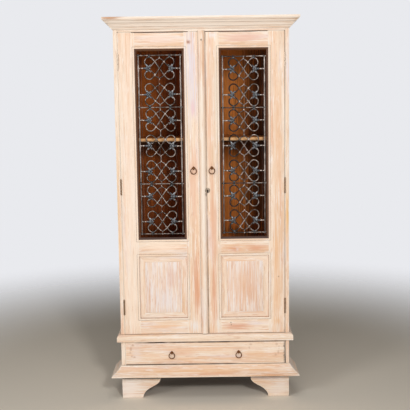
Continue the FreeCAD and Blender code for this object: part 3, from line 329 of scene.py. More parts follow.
@dataclass(frozen=True)
class GrainedWood(LayeredFinish):
    """Planed softwood with a coloured ground, streaks along the grain, rubbed edges, and corners darkened by
    dirt and painted shade.
    """

    name: str
    grain: Grain
    ground: str
    streaks: tuple[Streak, ...]
    edge: str
    edge_strength: float
    dirt: str
    dirt_strength: float
    roughness: float
    relief: float = 0.25
    touches: tuple[Touch, ...] = ()
    dust_and_shade_lines: tuple[DustAndShadeLine, ...] = ()

    def streaked(self, tree: Tree, place: Socket) -> Iterator[Layer]:
        """Works out the streaks.

        Args:
            tree: Node tree of the material.
            place: Object coordinates, swayed with the fibres.

        Returns:
            Share and colour of each.
        """
        for index, streak in enumerate(self.streaks):
            seed = 3.1 * index + 0.4
            pattern = fibres(tree, place, self.grain, streak.width, streak.length, seed)
            ramp = (pattern, streak.low, streak.high, 0.0, streak.strength)
            yield add_node(tree, "MapRange", ramp, interpolation_type="SMOOTHSTEP"), streak.colour

    def touched(self, tree: Tree, place: Socket) -> Iterator[Layer]:
        """Works out the single places, with outlines frayed along the grain.

        Args:
            tree: Node tree of the material.
            place: Object coordinates.

        Returns:
            Share and colour of each.
        """
        fray = fibres(tree, place, self.grain, width=3.5, length=150, seed=21.3)
        # The frayed reach is about 1.5 at the middle of a touch, where it is full, and 2.5 at its edge.
        depth, full, gone = 3.0, 1.6, 2.5
        for touch in self.touches:
            scale = (1 / (touch.half_across * MM), 0.0, 1 / (touch.half_up * MM))
            centre = Vector((touch.across, 0, touch.up)) * MM
            offset = add_node(tree, "VectorMath", (place, centre), operation="SUBTRACT")
            offset = add_node(tree, "VectorMath", (offset, scale), operation="MULTIPLY")
            reach = add_node(tree, "VectorMath", (offset,), "Value", operation="LENGTH")
            frayed = add_node(tree, "Math", (fray, depth, reach), operation="MULTIPLY_ADD")
            ramp = (frayed, full, gone, touch.strength, 0.0)
            yield add_node(tree, "MapRange", ramp, interpolation_type="SMOOTHSTEP"), touch.colour

    def dusted_and_shaded(self, tree: Tree, place: Socket) -> Iterator[Layer]:
        """Works out the dark lines of dust and painted shade along the gaps, broken here and there.

        Args:
            tree: Node tree of the material.
            place: Object coordinates.

        Returns:
            Share and colour of each.
        """
        axes = add_node(tree, "SeparateXYZ", (place,)).node.outputs
        patch = 60 * MM
        patchy = add_node(tree, "TexNoise", {"Vector": place, "Scale": 1 / patch, "Detail": 3.0})
        broken = add_node(tree, "MapRange", (patchy, 0.3, 0.5, 0.5, 1.0))
        for dark_line in self.dust_and_shade_lines:
            run = Grain.UPRIGHT if dark_line.axis is Grain.ACROSS else Grain.ACROSS
            middle = (dark_line.start + dark_line.end) / 2 * MM
            half = (dark_line.end - dark_line.start) / 2
            line = (axes[dark_line.axis.value], dark_line.place * MM, dark_line.half_width * MM)
            share = add_node(tree, "Math", line, operation="COMPARE")
            off = add_node(tree, "Math", (axes[run.value], middle), operation="SUBTRACT")
            off = add_node(tree, "Math", (off,), operation="ABSOLUTE")
            ends = (off, half * MM, (half + dark_line.fade) * MM, dark_line.strength, 0.0)
            for factor in (broken, add_node(tree, "MapRange", ends)):
                share = add_node(tree, "Math", (share, factor), operation="MULTIPLY")
            yield share, dark_line.colour

    def worn(self, tree: Tree) -> Iterator[Layer]:
        """Works out the rubbed arrises, and the dirt and painted shade in the corners.

        Args:
            tree: Node tree of the material.

        Returns:
            Share and colour of each.
        """
        # Hands and cloths rub the arrises: rays sent into the wood find the next face close by.
        inward = {"samples": 4, "inside": True, "only_local": True}
        rubbed = add_node(tree, "AmbientOcclusion", {"Distance": 6 * MM}, "AO", **inward)
        yield add_node(tree, "MapRange", (rubbed, 0.5, 0.95, self.edge_strength, 0.0)), self.edge
        # Old wax and dust stay in quirks and corners, and painted shade darkens them: the colour darkens
        # where other faces are close by.
        occluded_shade = add_node(tree, "AmbientOcclusion", {"Distance": 4 * MM}, "AO", samples=6)
        yield add_node(tree, "MapRange", (occluded_shade, 0.38, 0.85, self.dirt_strength, 0.0)), self.dirt

    def paint(self, tree: Tree, shader: bpy.types.Node) -> None:
        """Builds the colour layer by layer, then the gloss and the relief of the pores.

        Args:
            tree: Node tree of the material.
            shader: Its surface shader.
        """
        flat = add_node(tree, "TexCoord", output="Object")
        # Fibres wander by a few millimetres over a quarter of a metre, as they do round hidden knots.
        sway = add_node(tree, "TexNoise", {"Vector": flat, "Scale": 1 / (250 * MM), "Detail": 1.0}, "Color")
        place = add_node(tree, "VectorMath", (sway, [4 * MM] * 3, flat), operation="MULTIPLY_ADD")
        layers = chain(
            self.streaked(tree, place), self.touched(tree, flat), self.dusted_and_shaded(tree, flat), self.worn(tree)
        )
        pores = fibres(tree, place, self.grain, width=1.4, length=45, seed=9.7)
        self.lay(tree, shader, layers, pores, wear=0.12, depth=0.6)


@dataclass(frozen=True)
class AgedMetal(LayeredFinish):
    """Metal under a patina, rubbed bright on its edges.

    Patch and grit are the sizes of the patina's spots and of the pits, in millimetres. Where a height is
    given in metres, lime is splashed on the metal above it.
    """

    name: str
    ground: str
    patina: str
    bright: str
    roughness: float
    patch: float = 9.0
    grit: float = 1.6
    metallic: float = 0.85
    specular: float = 0.5
    relief: float = 0.35
    limed_above: float | None = None
    lime: str = "#E9D6C2"

    def paint(self, tree: Tree, shader: bpy.types.Node) -> None:
        """Lays patina, rubbed edges and lime over the bare metal.

        Args:
            tree: Node tree of the material.
            shader: Its surface shader.
        """
        place = add_node(tree, "TexCoord", output="Object")
        spots = add_node(tree, "TexNoise", {"Vector": place, "Scale": 1 / (self.patch * MM), "Detail": 4.0})
        pits = add_node(tree, "TexNoise", {"Vector": place, "Scale": 1 / (self.grit * MM), "Detail": 3.0})
        dull = add_node(tree, "MapRange", (spots, 0.38, 0.62), interpolation_type="SMOOTHSTEP")
        inward = {"samples": 4, "inside": True, "only_local": True}
        edges = add_node(tree, "AmbientOcclusion", {"Distance": 2 * MM}, "AO", **inward)
        rubbed = add_node(tree, "MapRange", (edges, 0.25, 0.8, 0.75, 0.0))
        layers = [(dull, self.patina), (rubbed, self.bright)]
        shader.inputs["Metallic"].default_value = self.metallic
        shader.inputs["Specular IOR Level"].default_value = self.specular
        if self.limed_above is not None:
            height = add_node(tree, "SeparateXYZ", (place,), "Z")
            fade = 50 * MM
            above = add_node(tree, "MapRange", (height, self.limed_above, self.limed_above + fade))
            splash = add_node(tree, "MapRange", (spots, 0.36, 0.5))
            limed = add_node(tree, "Math", (above, splash), operation="MULTIPLY")
            layers.append((limed, self.lime))
            metal = add_node(tree, "MapRange", (limed, 0.0, 1.0, self.metallic, 0.0))
            tree.links.new(metal, shader.inputs["Metallic"])
        self.lay(tree, shader, layers, pits, wear=0.15, depth=0.5)


# Limed pine: wire-brushed softwood with white lime paste rubbed in and wiped along the grain. The eye sees
# a cream ground, soft peach bands, salmon heartwood, chalky streaks and thin brown pores, all of it dull.
LIMED_STREAKS = (
    Streak("#EBC09C", 40, 900, 0.42, 0.62, 0.75),
    Streak("#E2AC8C", 22, 520, 0.53, 0.70, 0.65),
    Streak("#F6E8D8", 14, 420, 0.50, 0.66, 0.70),
    Streak("#E8DCDB", 34, 260, 0.57, 0.70, 0.50),
    Streak("#D9AC82", 4, 220, 0.53, 0.68, 0.55),
    Streak("#F8EEE3", 4.5, 200, 0.54, 0.68, 0.55),
    Streak("#B5865E", 2.0, 110, 0.59, 0.71, 0.45),
    Streak("#FBF1EA", 8, 60, 0.55, 0.66, 0.50),
    Streak("#D3A07C", 6, 50, 0.57, 0.68, 0.45),
)

# Limed panel boards: the same wood from the flat of the tree, wiped harder, with stronger narrow streaks.
PANEL_STREAKS = (
    Streak("#EFD3BC", 50, 420, 0.40, 0.60, 0.80),
    Streak("#E3B79C", 13, 190, 0.48, 0.64, 0.75),
    Streak("#EFE7E5", 8, 170, 0.44, 0.62, 0.80),
    Streak("#CBA183", 4, 120, 0.55, 0.70, 0.50),
    Streak("#F7EDE2", 5, 130, 0.52, 0.68, 0.60),
    Streak("#C8997A", 4, 45, 0.57, 0.68, 0.45),
    Streak("#F6F0EE", 6, 70, 0.55, 0.66, 0.55),
)

# Worn, bare and chalky places on upright boards: bare wood on the right case stile, heartwood on the
# meeting stiles, chalk left at the top and the foot of the left one, a knot, a filled nail hole, a pin knot
# and a chip by the keyhole.
UPRIGHT_TOUCHES = (
    Touch("#EBC08C", -430, 1000, 8, 420, 0.80),
    Touch("#FBE4D0", -370, 1000, 70, 1400, 0.70),
    Touch("#E4D9DD", -50, 1690, 46, 330, 0.95),
    Touch("#E6B8C0", -46, 1500, 12, 60, 0.55),
    Touch("#EABC9E", -48, 1160, 28, 240, 0.85),
    Touch("#DDA27E", -38, 600, 22, 230, 0.95),
    Touch("#EFE5DE", -52, 382, 36, 42, 0.95),
    Touch("#F8EBDC", -2, 1100, 16, 1100, 0.75),
    Touch("#EBBE9E", 38, 1450, 18, 420, 0.85),
    Touch("#EFDCC8", 70, 1500, 14, 300, 0.80),
    Touch("#E4B192", 52, 900, 22, 320, 0.80),
    Touch("#DFA684", 50, 560, 20, 230, 0.90),
    Touch("#EFE3D8", 74, 385, 16, 45, 0.90),
    Touch("#E8B88C", 374, 700, 28, 420, 0.85),
    Touch("#E9BE98", 374, 1350, 30, 380, 0.60),
    Touch("#E6B482", 376, 405, 30, 26, 0.60),
    Touch("#E8B87A", 427, 960, 12, 140, 0.95),
    Touch("#EBDDDD", 428, 1700, 12, 160, 0.70),
    Touch("#F0E6E0", 58, 1862, 30, 20, 0.85),
    Touch("#F8EADA", -426, 240, 22, 120, 0.80),
    Touch("#C08C74", -64, 1829, 16, 13, 0.85),
    Touch("#8A5E48", -64, 1829, 6, 5, 0.75),
    Touch("#4A3428", -1, 1838, 6, 6, 0.95),
    Touch("#9A6A48", 380, 640, 7, 6, 0.85),
    Touch("#75604E", 17, 1071, 9, 15, 0.90),
)

# Worn curls once cut into the drawer's ends: centre, half sizes and strength of each stroke.
DRAWER_CURLS = (
    (-377, 284, 8, 8, 0.65),
    (-387, 266, 7, 15, 0.60),
    (-391, 246, 5, 13, 0.50),
    (-383, 228, 7, 11, 0.60),
    (-370, 221, 10, 6, 0.60),
    (372, 282, 10, 10, 0.60),
    (384, 262, 6, 15, 0.50),
    (380, 238, 7, 14, 0.55),
    (367, 225, 10, 7, 0.55),
    (237, 281, 11, 10, 0.50),
    (229, 263, 6, 10, 0.50),
)

# The same on boards that lie across: heartwood in the rails, bare wood at the upper left of the cornice and
# along the lower right of the plinth, two nail holes in the right bottom rail, and the curls of the drawer;
# painted light over the cornice and painted shade in the drawer's right gap.
ACROSS_TOUCHES = (
    Touch("#F4DACA", -215, 1850, 150, 40, 0.80),
    Touch("#E4B8A4", 215, 1850, 140, 34, 0.90),
    Touch("#FCE4CE", -210, 795, 150, 50, 0.80),
    Touch("#D99A76", 158, 785, 56, 24, 0.90),
    Touch("#DDA280", 268, 790, 78, 24, 0.90),
    Touch("#EADFDC", 172, 783, 15, 15, 0.70),
    Touch("#ECBD94", -215, 385, 120, 22, 0.75),
    Touch("#D89878", 160, 382, 120, 24, 0.80),
    Touch("#E8D8D4", 270, 395, 60, 14, 0.80),
    Touch("#5A3A2C", 135, 400, 5.5, 5.5, 0.90),
    Touch("#5A3A2C", 137, 388, 5, 5, 0.90),
    # Painted light: a pale wash over the cornice, whose faces look down and get less light.
    Touch("#FFF0E0", 0, 1921, 1200, 62, 0.95),
    Touch("#AE6826", -445, 1947, 84, 11, 0.95),
    Touch("#DDB287", 470, 1930, 20, 8, 0.60),
    Touch("#EABD98", -60, 256, 330, 16, 0.75),
    Touch("#E6B592", -120, 236, 90, 10, 0.70),
    Touch("#E9BC92", 260, 232, 90, 20, 0.60),
    Touch("#EEDCD2", -360, 240, 40, 50, 0.70),
    Touch("#E8B98A", 0, 150, 420, 10, 0.75),
    Touch("#E2A878", 60, 142, 160, 8, 0.70),
    Touch("#E6B488", 300, 150, 130, 9, 0.70),
    Touch("#C8813A", 360, 130, 140, 12, 0.95),
    # Painted shade in the gap at the drawer's right end.
    Touch(GAP_DUST_AND_SHADE, 413, 215, 8, 36, 0.90),
    Touch(GAP_DUST_AND_SHADE, 413, 269, 8, 36, 0.90),
    *(Touch("#C39C80", *curl) for curl in DRAWER_CURLS),
    Touch("#FFF2E8", -400, 50, 130, 110, 0.85),
    Touch("#F2E3D7", 395, 55, 80, 70, 0.75),
)

# Pink heartwood in the field of the left panel, salmon in that of the right one, chalk below.
PANEL_TOUCHES = (
    Touch("#DDB29E", -170, 635, 50, 75, 0.50),
    Touch("#E8DBD8", -210, 520, 85, 70, 0.50),
    Touch("#E2B08A", 205, 590, 130, 170, 0.60),
    Touch("#DDAA86", 226, 558, 40, 75, 0.60),
)

# Dust and painted shade in gaps and quirks that a cloth never reaches: beside the hinges, over the doors,
# round the drawer, under the plinth and between the members of the cornice.
UPRIGHT_DUST_AND_SHADE = (
    DustAndShadeLine(Grain.ACROSS, -414.5, 1.8, 0.30, 345, 1500),
    DustAndShadeLine(Grain.ACROSS, 415, 2.2, 0.75, 1560, 1880),
    DustAndShadeLine(Grain.ACROSS, 415, 1.8, 0.40, 345, 1560),
    DustAndShadeLine(Grain.ACROSS, 20, 3.6, 0.50, 345, 1885),
    DustAndShadeLine(Grain.ACROSS, 20, 3.6, 0.50, 345, 620),
    DustAndShadeLine(Grain.ACROSS, 415, 5.5, 0.95, 178, 306, GAP_DUST_AND_SHADE),
)
# Painted shade under the steps of the cornice, with dust in its quirks.
CORNICE_DUST_AND_SHADE = (
    DustAndShadeLine(Grain.UPRIGHT, 1931.5, 1.2, 0.30, -470, 470),
    DustAndShadeLine(Grain.UPRIGHT, 1921.5, 1.2, 0.30, -470, 470),
    DustAndShadeLine(Grain.UPRIGHT, 1904.5, 1.2, 0.35, -470, 470),
)
ACROSS_DUST_AND_SHADE = (
    DustAndShadeLine(Grain.UPRIGHT, 1878, 3.4, 0.95, 20, 240, GAP_DUST_AND_SHADE),
    DustAndShadeLine(Grain.UPRIGHT, 1878, 3.0, 0.90, -300, -90, GAP_DUST_AND_SHADE),
    # Painted shadow of the waist on the top of the drawer front.
    DustAndShadeLine(Grain.UPRIGHT, 298.5, 4.4, 0.95, -310, 110, SHADOW_BLACK),
    DustAndShadeLine(Grain.UPRIGHT, 299.0, 3.8, 0.85, 110, 400, GAP_DUST_AND_SHADE),
    DustAndShadeLine(Grain.UPRIGHT, 180.5, 3.4, 0.90, -390, 120, GAP_DUST_AND_SHADE),
    # Painted shadow of the plinth on the tops of the feet.
    DustAndShadeLine(Grain.UPRIGHT, 106.5, 3.4, 0.90, -430, -240, SHADOW_BLACK),
    DustAndShadeLine(Grain.UPRIGHT, 106.5, 3.0, 0.60, 240, 430),
) + CORNICE_DUST_AND_SHADE

# Stained pine: the inside, wiped with a walnut spirit stain that has yellowed to orange.
STAINED_STREAKS = (
    Streak("#A85A20", 45, 600, 0.40, 0.62, 0.80),
    Streak("#74390F", 12, 320, 0.52, 0.68, 0.60),
    Streak("#D28A44", 9, 260, 0.52, 0.68, 0.55),
    Streak("#4A2209", 4, 120, 0.60, 0.74, 0.55),
)

# Bare pine: unpainted boards of the back and the drawer box, gone honey coloured and dusty.
BARE_STREAKS = (
    Streak("#CFA36B", 50, 500, 0.40, 0.60, 0.80),
    Streak("#A97A48", 10, 300, 0.52, 0.66, 0.60),
    Streak("#8A6238", 4, 140, 0.57, 0.70, 0.50),
    Streak("#B5A48C", 80, 200, 0.52, 0.68, 0.45),
)

LIMED = {
    grain: GrainedWood(
        f"limed_pine_{grain.name.lower()}", grain, "#F2DAC2", LIMED_STREAKS, edge="#F9EEDD",
        edge_strength=0.5, dirt=OLD_WAX_AND_SHADE, dirt_strength=0.8, roughness=0.62, touches=touches, dust_and_shade_lines=dust_and_shade_lines,
    )
    for grain, touches, dust_and_shade_lines in (
        (Grain.UPRIGHT, UPRIGHT_TOUCHES, UPRIGHT_DUST_AND_SHADE),
        (Grain.ACROSS, ACROSS_TOUCHES, ACROSS_DUST_AND_SHADE),
        (Grain.FORE_AND_AFT, (), CORNICE_DUST_AND_SHADE),
    )
}
LIMED_PANEL = GrainedWood(
    "limed_pine_panel", Grain.UPRIGHT, "#F0DACA", PANEL_STREAKS, edge="#F3E6D8", edge_strength=0.5,
    dirt=OLD_WAX_AND_SHADE, dirt_strength=0.8, roughness=0.62, touches=PANEL_TOUCHES,
)
STAINED = {
    grain: GrainedWood(
        f"stained_pine_{grain.name.lower()}", grain, "#C47834", STAINED_STREAKS, edge="#C98A4C",
        edge_strength=0.35, dirt="#2A120A", dirt_strength=0.7, roughness=0.42,
    )
    for grain in Grain
}
# The two back walls are one stain in painted light and shade: the right wall painted lit, the left painted in
# shade.
STAINED_PAINTED_LIT = GrainedWood(
    "stained_pine_painted_lit", Grain.UPRIGHT, "#E4873C", (
        Streak("#C86C28", 45, 600, 0.42, 0.64, 0.80),
        Streak("#8E4C18", 9, 320, 0.54, 0.70, 0.60),
        Streak("#EDA75E", 9, 260, 0.54, 0.70, 0.50),
    ), edge="#6A3414", edge_strength=0.5, dirt="#2A120A", dirt_strength=0.8, roughness=0.45, touches=(
        # Painted pool of light on the left half of the right wall.
        Touch("#FFA04E", 150, 1480, 190, 900, 0.92),
        # Painted shadow of the right jamb on the right half of the right wall.
        Touch("#2C1406", 318, 1300, 190, 1300, 0.92),
        # Painted shadow under the upper shelf, and lower down in the opening.
        Touch("#2C1406", 215, 1305, 300, 70, 0.85),
        Touch("#2C1406", 215, 800, 260, 60, 0.80),
    ),
)
STAINED_PAINTED_SHADE = GrainedWood(
    "stained_pine_painted_shade", Grain.UPRIGHT, "#8A4820", (
        Streak("#A65C28", 40, 600, 0.46, 0.66, 0.80),
        Streak("#5C2A10", 14, 320, 0.50, 0.66, 0.70),
        Streak("#3A1A0B", 4, 120, 0.60, 0.74, 0.55),
    ), edge="#3E1C0C", edge_strength=0.5, dirt="#22100A", dirt_strength=0.8, roughness=0.45, touches=(
        # Painted light on the left part of the left wall.
        Touch("#CE7428", -315, 1520, 100, 560, 0.45),
        # Painted shadow under the upper shelf, and lower down in the opening.
        Touch("#22100A", -215, 1305, 300, 70, 0.85),
        Touch("#22100A", -215, 800, 260, 60, 0.60),
    ),
)
# Shelf edge: planed after staining, waxed yellow, with painted shade along its foot.
WAXED_EDGE = GrainedWood(
    "waxed_shelf_edge", Grain.ACROSS, "#DCA468", (Streak("#BC8448", 5, 160, 0.48, 0.66, 0.7),),
    edge="#E4B880", edge_strength=0.4, dirt="#6A4020", dirt_strength=0.8, roughness=0.5,
    dust_and_shade_lines=(DustAndShadeLine(Grain.UPRIGHT, SHELF_FOOT, 4.0, 0.85, -400, 400, "#3A1C0A"),),
)
# Smoked bead and cleats: stained twice, so that they stand nearly as dark as the inside behind them; on the
# cleats under the shelves this dark is painted shade.
SMOKED = {
    grain: GrainedWood(
        f"smoked_pine_{grain.name.lower()}", grain, "#4A2A12", (Streak("#2E1708", 9, 260, 0.46, 0.64, 0.8),),
        edge="#6A4020", edge_strength=0.5, dirt="#22100A", dirt_strength=0.7, roughness=0.45,
    )
    for grain in (Grain.ACROSS, Grain.UPRIGHT)
}
# Black: dust of years at the foot of the bead, and painted shade under the plinth and the base board, in the
# keyhole and on the hidden front of the lock.
BLACK_DUST_AND_SHADE = GrainedWood(
    "black_dust_and_shade_pine", Grain.ACROSS, "#2C1509", (Streak("#1C0D06", 9, 260, 0.46, 0.64, 0.8),),
    edge="#4A2812", edge_strength=0.4, dirt="#160A05", dirt_strength=0.7, roughness=0.55,
)
BARE = {
    grain: GrainedWood(
        f"bare_pine_{grain.name.lower()}", grain, "#D9B582", BARE_STREAKS, edge="#E2C79C", edge_strength=0.4,
        dirt="#6E4F30", dirt_strength=0.7, roughness=0.66,
    )
    for grain in Grain
}

# Wrought iron rubbed grey: hammered hot, its black scale worn through, waxed, dark in the pits.
IRON = AgedMetal("rubbed_wrought_iron", "#7E736C", "#362E29", "#BEB1A7", 0.32, patch=16.0)
# The same iron in painted shade, dark, on the left loops and the left half of the cross bars of the right
# grille.
SHADED_IRON = AgedMetal("scaled_wrought_iron", "#322E2C", "#1C1816", "#5E5650", 0.34, patch=14.0)
# Side bars, drawn smooth and rubbed evenly.
DRAWN_IRON = AgedMetal("drawn_iron_bar", "#7E746E", "#554D48", "#AEA39B", 0.34, patch=30.0)
# The same bars, darker and duller, below the lower cross bar.
DULL_IRON = AgedMetal("iron_bar_darker_below", "#5A504A", "#3A322D", "#82766E", 0.42, patch=30.0)
# Cast clasps: grey iron, its hollows black with old wax.
CAST = AgedMetal("cast_grey_iron", "#68696B", "#252426", "#A6A9AB", 0.36, patch=4.0)
# Aged bronze of the pulls: brown patina with warm bare spots.
BRONZE = AgedMetal(
    "patinated_bronze", "#764822", "#4A2A13", "#9A6638", 0.5, patch=4.0, metallic=0.35, specular=0.3
)
# Keyhole plate: thin brass rubbed down to the colour of the dust round it.
PLATE = AgedMetal("rubbed_plate", "#A08C78", "#5A4A3C", "#C8B8A4", 0.6, patch=7.0, metallic=0.2)
# Hinge brass, dull and brown, splashed with lime at the upper hinges.
HINGE_BRASS = AgedMetal("dull_hinge_brass", "#7D6048", "#54402F", "#A88C6C", 0.45, patch=5.0, limed_above=1.4)
# Lock steel: pressed sheet, greased and spotted with rust.
STEEL = AgedMetal("greased_lock_steel", "#8E8C88", "#6B5F55", "#B9B7B2", 0.38, patch=14.0)


@dataclass(frozen=True)
class PaleFloor(Finish):
    """Pale studio floor that keeps the shadow near the cabinet and fades out with distance."""

    name: str = "pale_studio_floor"
    colour: str = "#F0E6D6"
    fade_start: float = 1.2
    fade_end: float = 3.6

    def paint(self, tree: Tree, shader: bpy.types.Node) -> None:
        """Gives the floor its colour and its fade.

        Args:
            tree: Node tree of the material.
            shader: Its surface shader.
        """
        shader.inputs["Base Color"].default_value = linear(self.colour)
        shader.inputs["Roughness"].default_value = 0.8
        shader.inputs["Specular IOR Level"].default_value = 0.0
        place = add_node(tree, "TexCoord", output="Object")
        reach = add_node(tree, "VectorMath", (place,), "Value", operation="LENGTH")
        fade = (reach, self.fade_start, self.fade_end, 1.0, 0.0)
        kept = add_node(tree, "MapRange", fade, interpolation_type="SMOOTHSTEP")
        tree.links.new(kept, shader.inputs["Alpha"])


def alone(piece: Object) -> None:
    """Makes one object the only selected and the active one.

    Args:
        piece: The object.
    """
    for other in bpy.context.selected_objects:
        other.select_set(False)
    piece.select_set(True)
    bpy.context.view_layer.objects.active = piece


@contextmanager
def editing(piece: Object) -> Iterator[None]:
    """Opens edit mode on one object with its whole mesh selected.

    Args:
        piece: The object.

    Returns:
        Nothing to work with: edit mode lasts as long as the block that it is opened for.
    """
    alone(piece)
    bpy.ops.object.mode_set(mode="EDIT")
    bpy.ops.mesh.select_all(action="SELECT")
    yield
    bpy.ops.object.mode_set(mode="OBJECT")


def apply_modifiers(piece: Object) -> None:
    """Applies the modifiers of a piece in their order.

    Args:
        piece: The piece.
    """
    alone(piece)
    for modifier in list(piece.modifiers):
        bpy.ops.object.modifier_apply(modifier=modifier.name)


def freeze(piece: Object) -> None:
    """Moves the place of an object into its mesh."""
    alone(piece)
    bpy.ops.object.transform_apply(location=True, rotation=True, scale=True)


Point = tuple[float, float, float]


def behind_face(point: Point) -> Vector:
    """The place of a point given across, back from the face and up, in millimetres."""
    return Vector((0, FACE_Y, 0)) + Vector(point) * MM


def block(centre: Vector, sizes: Iterable[float]) -> Object:
    """Makes a block.

    Args:
        centre: Its middle, in metres.
        sizes: Its sizes along the axes, in millimetres.

    Returns:
        The block in its place.
    """
    bpy.ops.mesh.primitive_cube_add(size=MM, location=(0, 0, 0))
    made = bpy.context.object
    made.scale = sizes
    made.location = centre
    freeze(made)
    return made


def join(name: str, pieces: list[Object]) -> Object:
    """Joins meshes into one piece.

    Args:
        name: Name of the joined piece.
        pieces: Meshes, of which the first stays.

    Returns:
        The joined piece.
    """
    alone(pieces[0])
    for piece in pieces:
        piece.select_set(True)
    bpy.ops.object.join()
    pieces[0].name = name
    return pieces[0]


def copied(piece: Object) -> Object:
    """Copies an object together with its mesh.

    Args:
        piece: Object that is copied.

    Returns:
        The copy, linked to the scene.
    """
    copy = piece.copy()
    copy.data = piece.data.copy()
    bpy.context.scene.collection.objects.link(copy)
    return copy


def copy_of(node: str, name: str) -> Object:
    """Copies the mesh of a CAD node into a new piece, with its loose triangles merged into whole faces.

    Args:
        node: Name of the CAD node.
        name: Name of the new piece.

    Returns:
        The new piece.
    """
    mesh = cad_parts[node].data.copy()
    mesh.name = name
    mesh.materials.clear()
    piece = bpy.data.objects.new(name, mesh)
    bpy.context.scene.collection.objects.link(piece)
    with editing(piece):
        bpy.ops.mesh.remove_doubles(threshold=0.01 * MM)
        bpy.ops.mesh.dissolve_limited(angle_limit=math.radians(1))
    bpy.ops.mesh.customdata_custom_splitnormals_clear()
    return piece


def cut_at(piece: Object, axis: Grain, places: list[float]) -> None:
    """Cuts the faces of a piece by planes square to an axis, and leaves both sides.

    Args:
        piece: Piece that is cut.
        axis: Axis that the planes are square to.
        places: Where they cut, in metres.
    """
    normal = Vector((0, 0, 0))
    normal[axis.value] = 1
    with editing(piece):
        for place in places:
            bpy.ops.mesh.select_all(action="SELECT")
            bpy.ops.mesh.bisect(plane_co=normal * place, plane_no=normal)


def ease_edges(piece: Object, width: float, segments: int = 2) -> None:
    """Rounds the sharp edges of a piece.

    Args:
        piece: Piece whose edges are rounded.
        width: Width of the rounding, in millimetres.
        segments: Faces across the rounding.
    """
    bevel = piece.modifiers.new("eased edges", "BEVEL")
    bevel.width = width * MM
    bevel.segments = segments
    bevel.limit_method = "ANGLE"
    bevel.angle_limit = math.radians(40)
    apply_modifiers(piece)


def hand_work(piece: Object, depth: float, size: float) -> None:
    """Lets the surface wander a little, as planing, hammering and wear leave it.

    Args:
        piece: Piece that is worked.
        depth: Height from hollow to crest, in millimetres.
        size: Distance between crests, in millimetres.
    """
    texture = bpy.data.textures.new(f"{piece.name}_wander", "CLOUDS")
    texture.noise_scale = size * MM
    displace = piece.modifiers.new("hand work", "DISPLACE")
    displace.texture = texture
    displace.texture_coords = "LOCAL"
    displace.strength = depth * MM
    displace.mid_level = 0.5
    apply_modifiers(piece)


FacePick = Callable[[Vector, Vector], Finish]


def dress(piece: Object, pick: FacePick, angle: float = TIMBER_ARRIS) -> None:
    """Shades curved faces smooth, keeps the arrises crisp and gives each face its finish.

    Args:
        piece: Piece that is dressed.
        pick: Chooses a finish from the centre and the normal of a face.
        angle: Angle between faces up to which they are shaded smooth, in degrees.
    """
    alone(piece)
    bpy.ops.object.shade_smooth_by_angle(angle=math.radians(angle))
    order: list[Finish] = []
    for polygon in piece.data.polygons:
        finish = pick(polygon.center, polygon.normal)
        if finish not in order:
            order.append(finish)
            piece.data.materials.append(finish.material())
        polygon.material_index = order.index(finish)


def all_over(finish: Finish) -> FacePick:
    """A face pick that gives one finish to every face."""
    return lambda centre, normal: finish


def in_keyhole(centre: Vector, normal: Vector) -> bool:
    """Whether a face of the right leaf is a wall of its keyhole."""
    near = abs(centre.x - KEYHOLE_X) < KEYHOLE_HALF and KEYHOLE_FOOT < centre.z < KEYHOLE_HEAD
    return near and abs(normal.y) < FULLY


def settle(piece: Object, body: str, slot: Slot, *nodes: str) -> Object:
    """Lets a finished piece ride on its body and stand for its CAD nodes.

    Args:
        piece: Finished piece.
        body: CAD body that carries it.
        slot: Material slot of the record; not used.
        nodes: CAD nodes that it stands for.

    Returns:
        The piece.
    """
    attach(piece, body)
    if nodes:
        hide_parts(*nodes)
    LOG.info("%s rides on %s with %d faces", piece.name, body, len(piece.data.polygons))
    return piece


@dataclass
class Timber:
    """One board or moulding: a copy of its CAD node with eased edges, worked faces and a finish.

    Ease is the width of the rounded edges, wander and stroke the depth and the length of the plane's waves,
    and step the distance between the cuts that let the faces bend. Sizes in millimetres.
    """

    node: str
    body: str
    slot: Slot
    pick: FacePick
    run: Grain
    ease: float = 1.2
    wander: float = 0.8
    step: float = 40.0
    stroke: float = 90.0
    extra_cuts: tuple[tuple[Grain, float], ...] = ()

    def build(self) -> Object:
        """Makes the piece.

        Returns:
            The dressed timber.
        """
        piece = copy_of(self.node, f"dressed_{self.node}")
        low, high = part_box(self.node)
        start = low[self.run.value]
        length = high[self.run.value] - start
        count = max(2, round(length / (self.step * MM)))
        cut_at(piece, self.run, [start + length * index / count for index in range(1, count)])
        for axis, place in self.extra_cuts:
            cut_at(piece, axis, [place])
        if self.ease:
            ease_edges(piece, self.ease)
        if self.wander:
            hand_work(piece, self.wander, self.stroke)
        dress(piece, self.pick)
        return settle(piece, self.body, self.slot, self.node)


